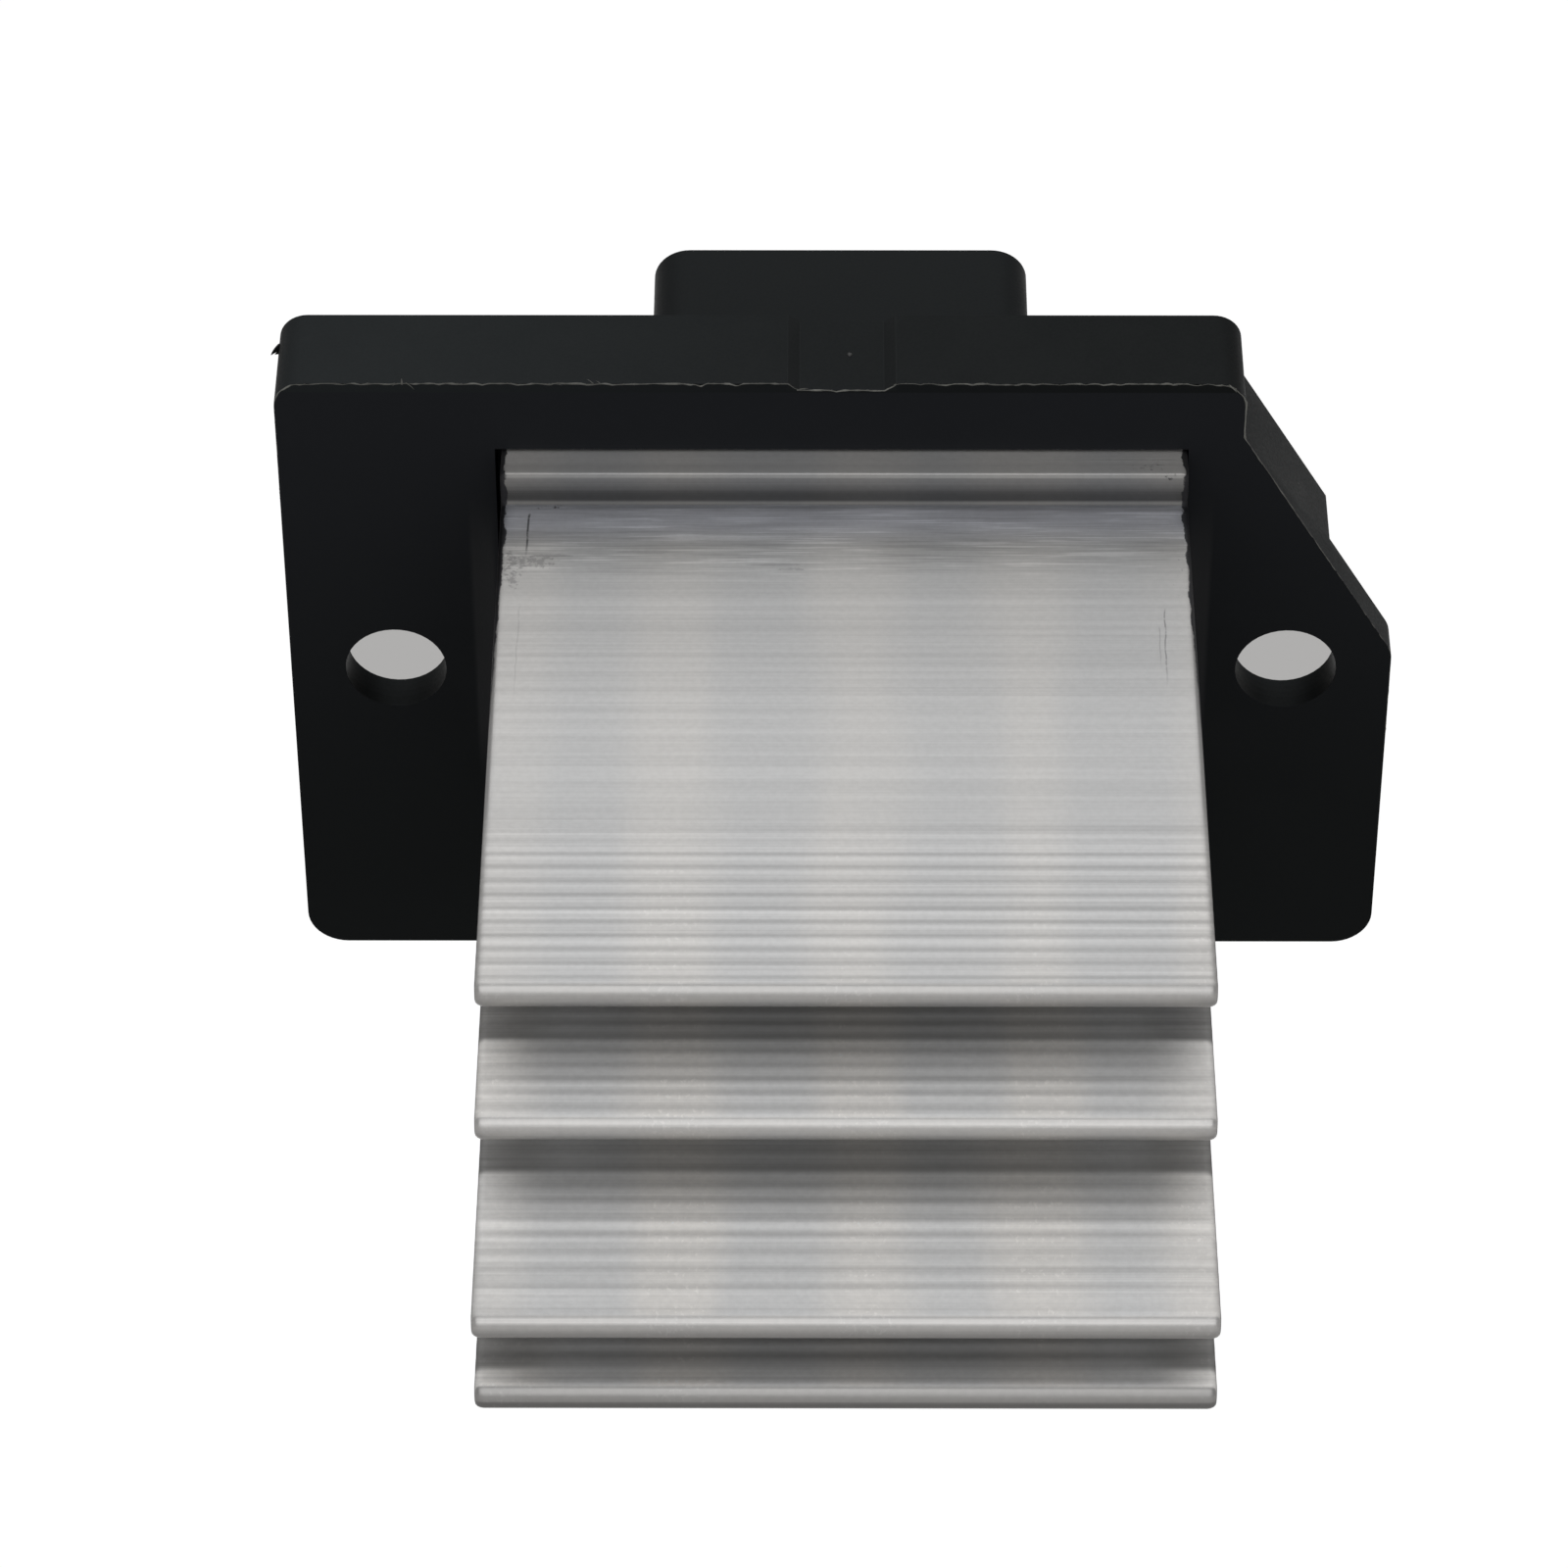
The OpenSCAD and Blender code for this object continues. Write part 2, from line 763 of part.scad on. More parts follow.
module feedback_resistor() {
    chip(chip_x, parts_z + 2 * chip_dz, chip_t, chip_black);
}

module filter_capacitor() {
    chip(-chip_x, parts_z + 3 * chip_dz, cap_t, chip_tan);
}

module bypass_capacitor() {
    chip(-chip_x, parts_z - 3 * chip_dz, cap_t, chip_tan);
}

// moulded body on two flat feet
module clamp_diode() {
    color(epoxy_black)
        translate([chip_x, board_front, parts_z - chip_dz]) {
            box_block(-diode_l / 2, diode_l / 2, -diode_t, -diode_foot_t / 2, -diode_h / 2, diode_h / 2);
            for (side = [-1, 1])
                translate([side * (diode_l - diode_foot_l) / 2, 0, 0])
                    box_block(-diode_foot_l / 2, diode_foot_l / 2, -diode_foot_t, 0,
                        -diode_foot_w / 2, diode_foot_w / 2);
        }
}

housing();
heat_sink();
heat_sink_screws();
terminal_motor();
terminal_ground();
terminal_control();
terminal_sense();
circuit_board();
transistor_body();
transistor_lead_frame();
thermal_pad();
transistor_screw();
insulating_bush();
amplifier_body();
amplifier_leads();
gate_resistor();
pull_down_resistor();
feedback_resistor();
filter_capacitor();
bypass_capacitor();
clamp_diode();
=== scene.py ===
"""Fan speed resistor module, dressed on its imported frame.

A moulded flange carries a finned aluminium heat sink in front and a plug socket behind. Sizes are in
millimetres, in the frame of the solids: X along the flange, -Y out along the fins and Z up.
"""

import logging
import math
from dataclasses import dataclass
from enum import Enum
from functools import reduce

import bmesh
import bpy
import numpy as np
from mathutils import Matrix, Vector


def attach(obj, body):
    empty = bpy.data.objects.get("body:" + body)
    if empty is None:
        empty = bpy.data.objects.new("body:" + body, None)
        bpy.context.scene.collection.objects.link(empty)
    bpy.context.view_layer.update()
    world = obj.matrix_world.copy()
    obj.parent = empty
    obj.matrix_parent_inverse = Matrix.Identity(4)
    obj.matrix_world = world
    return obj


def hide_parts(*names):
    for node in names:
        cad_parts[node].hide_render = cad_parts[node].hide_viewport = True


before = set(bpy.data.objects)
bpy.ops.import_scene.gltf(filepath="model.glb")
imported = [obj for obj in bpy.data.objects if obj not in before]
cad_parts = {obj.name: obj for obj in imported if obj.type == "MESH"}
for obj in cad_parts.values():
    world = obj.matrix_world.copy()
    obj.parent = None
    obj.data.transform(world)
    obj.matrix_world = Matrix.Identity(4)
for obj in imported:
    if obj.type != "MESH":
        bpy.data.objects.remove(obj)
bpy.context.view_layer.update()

MM = 0.001
BODY = "root"
LOG = logging.getLogger("fan_resistor")

# where nearly all of a soft noise lies
NOISE = (0.3, 0.7)

# points of a solid this near in metres are one, and faces this near to level in degrees are one
MERGE = 1e-6
LEVEL = 0.3

# angle in degrees past which an edge of a solid is sharp
SHARP = 30.0

Pair = tuple[float, float]
Colour = tuple[float, float, float]
Shell = tuple[np.ndarray, list]
Value = bpy.types.NodeSocket | float | tuple


class Op(Enum):
    """Sums that a Math node does."""

    ADD = "ADD"
    SUBTRACT = "SUBTRACT"
    MULTIPLY = "MULTIPLY"
    DIVIDE = "DIVIDE"
    COSINE = "COSINE"
    ABSOLUTE = "ABSOLUTE"
    LESS = "LESS_THAN"
    GREATER = "GREATER_THAN"
    MAXIMUM = "MAXIMUM"


class Kind(Enum):
    """Socket kinds of a node group."""

    VALUE = "NodeSocketFloat"
    VECTOR = "NodeSocketVector"


class Slot(Enum):
    """Material slots of the record, passed with new pieces."""

    PLASTIC = "black_plastic"
    ALUMINIUM = "extruded_aluminium"
    STEEL = "screw_steel"
    BRASS = "tinned_brass"


# Meshes


def grid_quads(rows: int, columns: int, wrap: bool = True) -> np.ndarray:
    """Number the quads of a grid whose point (i, j) is number i * columns + j.

    Each quad runs along its row first and then to the next row, so its normal is the cross product of the
    step along a row and the step between rows.

    Args:
        rows: Count of rows.
        columns: Points in a row.
        wrap: Whether each row is a closed ring.

    Returns:
        An array of quads, four point numbers each.
    """
    i, j = np.meshgrid(np.arange(rows - 1), np.arange(columns if wrap else columns - 1), indexing="ij")
    after = (j + 1) % columns
    quads = [i * columns + j, i * columns + after, (i + 1) * columns + after, (i + 1) * columns + j]
    return np.stack(quads, axis=-1).reshape(-1, 4)


def shade(mesh: bpy.types.Mesh, sharp: float) -> None:
    """Shade a mesh smooth, apart from its sharp edges.

    Args:
        mesh: The mesh.
        sharp: Angle in degrees past which an edge stays sharp.
    """
    mesh.polygons.foreach_set("use_smooth", np.ones(len(mesh.polygons), dtype=bool))
    mesh.set_sharp_from_angle(angle=math.radians(sharp))
    mesh.update()


def new_object(name: str, points: np.ndarray, faces: list, sharp: float = 40.0) -> bpy.types.Object:
    """Make a mesh object at the origin with its place in its mesh.

    Args:
        name: Name of the object.
        points: Points in millimetres, one row each.
        faces: Lists of point numbers.
        sharp: Angle in degrees past which an edge is shaded sharp.

    Returns:
        The object, linked to the scene.
    """
    mesh = bpy.data.meshes.new(name)
    mesh.from_pydata((np.asarray(points) * MM).tolist(), [], faces)
    shade(mesh, sharp)
    made = bpy.data.objects.new(name, mesh)
    bpy.context.scene.collection.objects.link(made)
    return made


def finish_piece(piece: bpy.types.Object, material: bpy.types.Material, slot: Slot, *nodes: str) -> None:
    """Give a new piece its material and body, and let it stand for CAD nodes.

    Args:
        piece: The piece.
        material: Its material.
        slot: Slot of the record for its finish; not used.
        nodes: CAD nodes that it stands for.
    """
    piece.data.materials.clear()
    piece.data.materials.append(material)
    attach(piece, BODY)
    if nodes:
        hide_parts(*nodes)
    LOG.info("%s: %d faces, %s", piece.name, len(piece.data.polygons), material.name)


def dress_node(node: str, material: bpy.types.Material) -> None:
    """Give a CAD node's own object a material.

    Args:
        node: The CAD node.
        material: Its material.
    """
    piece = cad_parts[node]
    piece.data.materials.clear()
    piece.data.materials.append(material)
    LOG.info("%s: %s", node, material.name)


def merged_copy(node: str, name: str, edge: float, segments: int) -> bpy.types.Object:
    """Copy a CAD node as a merged mesh with softened edges.

    The loose triangles are joined, flat areas become single faces, and a live bevel rounds each edge.

    Args:
        node: The CAD node.
        name: Name of the copy.
        edge: Width of the bevel in millimetres.
        segments: Faces across a bevel.

    Returns:
        The new object.
    """
    mesh = bpy.data.meshes.new(name)
    work = bmesh.new()
    work.from_mesh(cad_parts[node].data)
    bmesh.ops.remove_doubles(work, verts=work.verts, dist=MERGE)
    bmesh.ops.dissolve_limit(work, angle_limit=math.radians(LEVEL), verts=work.verts, edges=work.edges)
    work.to_mesh(mesh)
    work.free()
    for layer in [a for a in mesh.attributes if a.name in ("custom_normal", "sharp_face", "sharp_edge")]:
        mesh.attributes.remove(layer)
    shade(mesh, SHARP)
    copy = bpy.data.objects.new(name, mesh)
    bpy.context.scene.collection.objects.link(copy)
    bevel = copy.modifiers.new("edges", "BEVEL")
    bevel.width = edge * MM
    bevel.segments = segments
    bevel.limit_method = "ANGLE"
    bevel.angle_limit = math.radians(SHARP)
    bevel.harden_normals = True
    return copy


def ring_sweep(rings: np.ndarray) -> Shell:
    """Skin a row of rings, closed with a face at each end.

    Point j of ring i is joined to the next on its ring and to the same one on the next ring.

    Args:
        rings: Array of rings, points and coordinates; each ring turns counter-clockwise about the path.

    Returns:
        The points and the faces.
    """
    rows, columns = rings.shape[:2]
    faces = grid_quads(rows, columns).tolist()
    first = np.arange(columns)
    faces.append(first[::-1].tolist())
    faces.append((first + (rows - 1) * columns).tolist())
    return rings.reshape(-1, 3), faces


def joined(shells: list[Shell]) -> Shell:
    """Put several shells into one list of points and faces.

    Args:
        shells: Points and faces of each shell.

    Returns:
        All points and all faces, renumbered.
    """
    starts = np.cumsum([0] + [len(points) for points, _ in shells[:-1]])
    faces = [[int(v) + int(s) for v in face] for s, (_, shell) in zip(starts, shells) for face in shell]
    return np.concatenate([points for points, _ in shells]), faces


def smooth_step(value: np.ndarray) -> np.ndarray:
    """Rise from 0 to 1 while value goes from 0 to 1, level at both ends."""
    t = np.clip(value, 0.0, 1.0)
    return t * t * (3.0 - 2.0 * t)


def ragged(at: np.ndarray, spacing: float, seed: int) -> np.ndarray:
    """Seeded noise between 0 and 1: random heights every spacing, joined by straight lines.

    Args:
        at: Places along a line.
        spacing: Distance between the random heights.
        seed: Seed of the heights.

    Returns:
        A height for each place.
    """
    knots = np.arange(at.min(), at.max() + 2 * spacing, spacing)
    return np.interp(at, knots, np.random.default_rng(seed).random(len(knots)))


def metres(pair: Pair) -> Pair:
    """Turn a pair of millimetres into metres."""
    return pair[0] * MM, pair[1] * MM


# Node trees


class Sheet:
    """Node tree with short calls that add nodes and join them."""

    def __init__(self, tree: bpy.types.NodeTree) -> None:
        """Take the tree to draw on."""
        self.tree = tree

    def node(self, kind: str, inputs: dict | None = None, **settings: object) -> bpy.types.Node:
        """Add a node.

        Args:
            kind: Blender's name of the node type.
            inputs: Values or sockets for its inputs, by name or number.
            settings: Values of its properties.

        Returns:
            The node.
        """
        made = self.tree.nodes.new(kind)
        for name, value in settings.items():
            setattr(made, name, value)
        self.feed(made, inputs or {})
        return made

    def feed(self, node: bpy.types.Node, inputs: dict) -> None:
        """Set or join a node's inputs.

        Args:
            node: The node.
            inputs: Values or sockets for its inputs, by name or number.
        """
        for name, value in inputs.items():
            if isinstance(value, bpy.types.NodeSocket):
                self.tree.links.new(value, node.inputs[name])
            else:
                node.inputs[name].default_value = value

    def calc(self, op: Op, a: Value, b: Value = 0.0) -> bpy.types.NodeSocket:
        """Work out a sum of two values.

        Args:
            op: The sum.
            a: First value.
            b: Second value.

        Returns:
            The result's socket.
        """
        return self.node("ShaderNodeMath", {0: a, 1: b}, operation=op.value).outputs[0]

    def times(self, *values: Value) -> bpy.types.NodeSocket:
        """Multiply two or more values."""
        return reduce(lambda a, b: self.calc(Op.MULTIPLY, a, b), values)

    def most(self, *values: Value) -> bpy.types.NodeSocket:
        """Take the largest of two or more values."""
        return reduce(lambda a, b: self.calc(Op.MAXIMUM, a, b), values)

    def plus(self, a: Value, b: Value) -> bpy.types.NodeSocket:
        """Add two values."""
        return self.calc(Op.ADD, a, b)

    def minus(self, a: Value, b: Value) -> bpy.types.NodeSocket:
        """Take the second value from the first."""
        return self.calc(Op.SUBTRACT, a, b)

    def rest(self, share: Value) -> bpy.types.NodeSocket:
        """Take a share from one."""
        return self.calc(Op.SUBTRACT, 1.0, share)

    def ramp(
        self, value: Value, low: Value, high: Value, start: Value = 0.0, end: Value = 1.0
    ) -> bpy.types.NodeSocket:
        """Carry a value smoothly from the range low to high onto the range start to end.

        Args:
            value: The value.
            low: Where the ramp starts.
            high: Where it ends.
            start: Result at low.
            end: Result at high.

        Returns:
            The result's socket.
        """
        inputs = {"Value": value, "From Min": low, "From Max": high, "To Min": start, "To Max": end}
        return self.node("ShaderNodeMapRange", inputs, interpolation_type="SMOOTHSTEP").outputs[0]

    def fade(self, share: Value, plain: Value, full: Value) -> bpy.types.NodeSocket:
        """Go from the plain value to the full one as a share goes from 0 to 1."""
        return self.ramp(share, 0.0, 1.0, plain, full)

    def blend(self, factor: Value, low: Value, high: Value, how: str = "MIX") -> bpy.types.NodeSocket:
        """Mix two colours.

        Args:
            factor: Share of the second colour.
            low: First colour.
            high: Second colour.
            how: Blender's name of the way they mix.

        Returns:
            The colour's socket.
        """
        made = self.node("ShaderNodeMix", {0: factor, 6: low, 7: high}, data_type="RGBA", blend_type=how)
        return made.outputs[2]

    def place(self, x: Value, y: Value, z: Value = 0.0) -> bpy.types.NodeSocket:
        """Join three values to a vector."""
        return self.node("ShaderNodeCombineXYZ", {0: x, 1: y, 2: z}).outputs[0]

    def apart(self, vector: Value) -> list[bpy.types.NodeSocket]:
        """Split a vector into its three values."""
        return list(self.node("ShaderNodeSeparateXYZ", {0: vector}).outputs)

    def group(self, tree: bpy.types.NodeTree, inputs: dict[str, Value]) -> bpy.types.bpy_prop_collection:
        """Place a node group with its inputs, and give its outputs."""
        return self.node("ShaderNodeGroup", inputs, node_tree=tree).outputs

    def noise(self, at: Value, scale: Value, detail: float = 2.0, rough: float = 0.5) -> bpy.types.NodeSocket:
        """Read soft noise.

        Args:
            at: Place to read it at.
            scale: Waves per metre.
            detail: Octaves.
            rough: Share of each finer octave.

        Returns:
            The socket of a value round one half.
        """
        inputs = {"Vector": at, "Scale": scale, "Detail": detail, "Roughness": rough}
        return self.node("ShaderNodeTexNoise", inputs).outputs["Fac"]


def rgba(colour: Colour) -> tuple[float, float, float, float]:
    """Add a full alpha to a colour."""
    return (*colour, 1.0)


def new_group(
    name: str, inputs: dict[str, Kind], outputs: dict[str, Kind]
) -> tuple[Sheet, dict[str, bpy.types.NodeSocket], bpy.types.Node]:
    """Start a shader node group.

    Args:
        name: Name of the group.
        inputs: Kinds of its inputs by name.
        outputs: Kinds of its outputs by name.

    Returns:
        Its sheet, the sockets of its inputs by name, and its output node.
    """
    tree = bpy.data.node_groups.new(name, "ShaderNodeTree")
    for label, kind in inputs.items():
        tree.interface.new_socket(label, in_out="INPUT", socket_type=kind.value)
    for label, kind in outputs.items():
        tree.interface.new_socket(label, in_out="OUTPUT", socket_type=kind.value)
    sheet = Sheet(tree)
    given = sheet.node("NodeGroupInput")
    return sheet, {s.name: s for s in given.outputs if s.name}, sheet.node("NodeGroupOutput")


class Effects:
    """Node groups that several finishes share, each built once."""

    def __init__(self) -> None:
        """Build the groups."""
        self.grain = self.build_grain()
        self.drawn = self.build_drawn()
        self.specks = self.build_specks()
        self.scratch = self.build_scratch()
        self.smudge = self.build_smudge()

    @staticmethod
    def build_grain() -> bpy.types.NodeTree:
        """Fine grain of a moulded skin: small noise for the relief, and wide soft noise for the tone.

        Returns:
            The group.
        """
        sheet, given, out = new_group(
            "moulded_grain",
            {"Vector": Kind.VECTOR, "Grain": Kind.VALUE, "Cloud": Kind.VALUE},
            {"Height": Kind.VALUE, "Tone": Kind.VALUE},
        )
        fine = sheet.noise(given["Vector"], given["Grain"], 3.0, 0.62)
        wide = sheet.noise(given["Vector"], given["Cloud"], 3.0, 0.55)
        sheet.feed(out, {"Height": fine, "Tone": sheet.ramp(wide, *NOISE)})
        return sheet.tree

    @staticmethod
    def build_drawn() -> bpy.types.NodeTree:
        """Lines that a die or a roll leaves: noise stretched along the first axis of its vector.

        Returns:
            The group.
        """
        sheet, given, out = new_group(
            "drawn_lines",
            {"Along": Kind.VALUE, "Across": Kind.VALUE, "Stretch": Kind.VALUE, "Lines": Kind.VALUE},
            {"Height": Kind.VALUE, "Tone": Kind.VALUE},
        )
        along = sheet.times(given["Along"], given["Stretch"])
        across = sheet.times(given["Across"], given["Lines"])
        fine = sheet.noise(sheet.place(along, across), 1.0, 4.0, 0.6)
        wide = sheet.noise(sheet.place(along, sheet.times(across, 0.22), 3.7), 1.0, 2.0, 0.5)
        both = sheet.plus(sheet.times(fine, 0.55), sheet.times(wide, 0.45))
        sheet.feed(out, {"Height": both, "Tone": sheet.ramp(both, 0.34, 0.66)})
        return sheet.tree

    @staticmethod
    def build_specks() -> bpy.types.NodeTree:
        """Sparse specks: cells of which only a share holds a dot, each of its own size.

        Returns:
            The group.
        """
        sheet, given, out = new_group(
            "specks",
            {"Vector": Kind.VECTOR, "Cells": Kind.VALUE, "Share": Kind.VALUE, "Size": Kind.VALUE},
            {"Mask": Kind.VALUE},
        )
        cells = sheet.node(
            "ShaderNodeTexVoronoi", {"Vector": given["Vector"], "Scale": given["Cells"]}, feature="F1"
        )
        pick = sheet.node("ShaderNodeSeparateColor", {0: cells.outputs["Color"]})
        held = sheet.calc(Op.LESS, pick.outputs[0], given["Share"])
        reach = sheet.times(given["Size"], sheet.fade(pick.outputs[1], 0.35, 1.0))
        dot = sheet.ramp(sheet.calc(Op.DIVIDE, cells.outputs["Distance"], reach), 0.5, 1.0, 1.0, 0.0)
        sheet.feed(out, {"Mask": sheet.times(held, dot)})
        return sheet.tree

    @staticmethod
    def build_scratch() -> bpy.types.NodeTree:
        """One scratch: a thin wavering line from a start, away along -Y, broken up by noise.

        Returns:
            The group.
        """
        names = ("X", "Y", "Lean", "Length", "Width")
        sheet, given, out = new_group(
            "scratch", {"Vector": Kind.VECTOR, **{name: Kind.VALUE for name in names}}, {"Mask": Kind.VALUE}
        )
        x, y, _ = sheet.apart(given["Vector"])
        run = sheet.minus(given["Y"], y)
        waver = sheet.ramp(sheet.noise(given["Vector"], 700.0, 2.0), *NOISE, -3e-5, 3e-5)
        middle = sheet.plus(given["X"], sheet.plus(sheet.times(run, given["Lean"]), waver))
        off = sheet.calc(Op.ABSOLUTE, sheet.minus(x, middle))
        line = sheet.ramp(sheet.calc(Op.DIVIDE, off, given["Width"]), 0.35, 1.0, 1.0, 0.0)
        share = sheet.calc(Op.DIVIDE, run, given["Length"])
        inside = sheet.times(sheet.ramp(share, 0.0, 0.08), sheet.ramp(share, 0.55, 1.0, 1.0, 0.0))
        broken = sheet.ramp(sheet.noise(given["Vector"], 2200.0, 3.0), 0.3, 0.5, 0.25, 1.0)
        sheet.feed(out, {"Mask": sheet.times(line, inside, broken)})
        return sheet.tree

    @staticmethod
    def build_smudge() -> bpy.types.NodeTree:
        """One gritty smudge: a flattened ball that thins out from its middle, cut up by fine noise.

        Returns:
            The group.
        """
        names = ("X", "Y", "Z", "Half X", "Half Y", "Half Z", "Fill")
        sheet, given, out = new_group(
            "smudge", {"Vector": Kind.VECTOR, **{name: Kind.VALUE for name in names}}, {"Mask": Kind.VALUE}
        )
        off = [
            sheet.calc(Op.DIVIDE, sheet.minus(value, given[name]), given[f"Half {name}"])
            for name, value in zip("XYZ", sheet.apart(given["Vector"]))
        ]
        body = sheet.fade(reduce(sheet.plus, [sheet.times(v, v) for v in off]), 1.0, 0.0)
        grit = sheet.noise(given["Vector"], 3000.0, 4.0, 0.65)
        grit = sheet.plus(grit, sheet.times(body, given["Fill"]))
        sheet.feed(out, {"Mask": sheet.times(sheet.ramp(grit, 0.66, 0.8), sheet.ramp(body, 0.0, 0.2))})
        return sheet.tree


def new_material(name: str) -> tuple[bpy.types.Material, Sheet, bpy.types.Node, bpy.types.NodeSocket]:
    """Start a material with its shader and its Object coordinates.

    Args:
        name: Name of the material.

    Returns:
        The material, its sheet, its Principled shader and the socket of its Object coordinates.
    """
    material = bpy.data.materials.new(name)
    material.use_nodes = True
    sheet = Sheet(material.node_tree)
    shader = material.node_tree.nodes["Principled BSDF"]
    return material, sheet, shader, sheet.node("ShaderNodeTexCoord").outputs["Object"]


def relief(sheet: Sheet, height: Value, depth: float) -> bpy.types.NodeSocket:
    """Turn a height between 0 and 1 into a normal.

    Args:
        sheet: The material's sheet.
        height: The height.
        depth: Millimetres from its lowest to its highest.

    Returns:
        The socket of the normal.
    """
    inputs = {"Strength": 1.0, "Distance": depth * MM, "Height": height}
    return sheet.node("ShaderNodeBump", inputs).outputs[0]


# Finishes


@dataclass(frozen=True)
class PaintedLight:
    """A patch of painted light or shade: its ends along each axis, its soft borders and its colour.

    With both, X counts from the middle to either side.
    """

    x: Pair
    y: Pair
    z: Pair
    border: tuple[float, float, float]
    colour: Colour
    both: bool = True

    def mask(self, sheet: Sheet, at: Value) -> Value:
        """Fade from 0 at the borders to 1 inside.

        Args:
            sheet: The material's sheet.
            at: Object coordinates.

        Returns:
            The socket of the share.
        """
        place = sheet.apart(at)
        if self.both:
            place[0] = sheet.calc(Op.ABSOLUTE, place[0])
        shares = []
        for value, (low, high), border in zip(place, (self.x, self.y, self.z), self.border):
            shares.append(sheet.ramp(value, *metres((low, low + border))))
            shares.append(sheet.ramp(value, *metres((high, high - border))))
        return sheet.times(*shares)


@dataclass(frozen=True)
class Moulding:
    """Moulded plastic, epoxy or rubber: fine-grained, slightly clouded, with a little dust."""

    name: str
    colour: Colour
    cloud_colour: Colour
    roughness: float
    specular: float
    grain: float = 0.16
    relief: float = 0.004
    cloud: float = 160.0
    dust: float = 0.0
    dust_cells: float = 520.0
    dust_size: float = 0.055
    dust_colour: Colour = (0.12, 0.12, 0.115)
    shine: Colour = (1.0, 1.0, 1.0)
    # patches of painted light and shade laid over the colour
    painted_light: tuple[PaintedLight, ...] = ()

    def make(self, effects: Effects) -> bpy.types.Material:
        """Build the material.

        Args:
            effects: Shared node groups.

        Returns:
            The material.
        """
        material, sheet, shader, at = new_material(self.name)
        skin = {"Vector": at, "Grain": 1.0 / (self.grain * MM), "Cloud": self.cloud}
        dust = {"Vector": at, "Cells": self.dust_cells, "Share": self.dust, "Size": self.dust_size}
        grain = sheet.group(effects.grain, skin)
        colour = sheet.blend(grain["Tone"], rgba(self.colour), rgba(self.cloud_colour))
        # lay the patches of painted light and shade over the colour
        for place in self.painted_light:
            colour = sheet.blend(place.mask(sheet, at), colour, rgba(place.colour))
        colour = sheet.blend(sheet.group(effects.specks, dust)["Mask"], colour, rgba(self.dust_colour))
        rough = sheet.plus(sheet.ramp(grain["Height"], *NOISE, -0.05, 0.05), self.roughness)
        rough = sheet.plus(rough, sheet.fade(grain["Tone"], -0.03, 0.03))
        sheet.feed(
            shader,
            {
                "Base Color": colour,
                "Roughness": rough,
                "Specular IOR Level": self.specular,
                "Specular Tint": rgba(self.shine),
                "Normal": relief(sheet, grain["Height"], self.relief),
            },
        )
        return material


@dataclass(frozen=True)
class Scratch:
    """A scratch on the top fin: where it starts, its lean, length and half width, and how dark it is."""

    x: float
    y: float
    lean: float
    length: float
    width: float
    depth: float

    def mask(self, sheet: Sheet, effects: Effects, at: Value) -> bpy.types.NodeSocket:
        """Place the scratch.

        Args:
            sheet: The material's sheet.
            effects: Shared node groups.
            at: Object coordinates.

        Returns:
            The socket of its share of dirt.
        """
        inputs = {"X": self.x * MM, "Y": self.y * MM, "Length": self.length * MM, "Width": self.width * MM}
        marked = sheet.group(effects.scratch, {"Vector": at, "Lean": self.lean, **inputs})
        return sheet.times(marked["Mask"], self.depth)


@dataclass(frozen=True)
class Smudge:
    """A gritty mark on the top fin or lip: its middle, half sizes, how filled and how dark it is."""

    x: float
    y: float
    z: float
    half_x: float
    half_y: float
    fill: float
    depth: float
    half_z: float = 0.5

    def mask(self, sheet: Sheet, effects: Effects, at: Value) -> bpy.types.NodeSocket:
        """Place the smudge.

        Args:
            sheet: The material's sheet.
            effects: Shared node groups.
            at: Object coordinates.

        Returns:
            The socket of its share of dirt.
        """
        inputs = {"X": self.x * MM, "Y": self.y * MM, "Z": self.z * MM}
        inputs |= {"Half X": self.half_x * MM, "Half Y": self.half_y * MM, "Half Z": self.half_z * MM}
        marked = sheet.group(effects.smudge, {"Vector": at, "Fill": self.fill, **inputs})
        return sheet.times(marked["Mask"], self.depth)


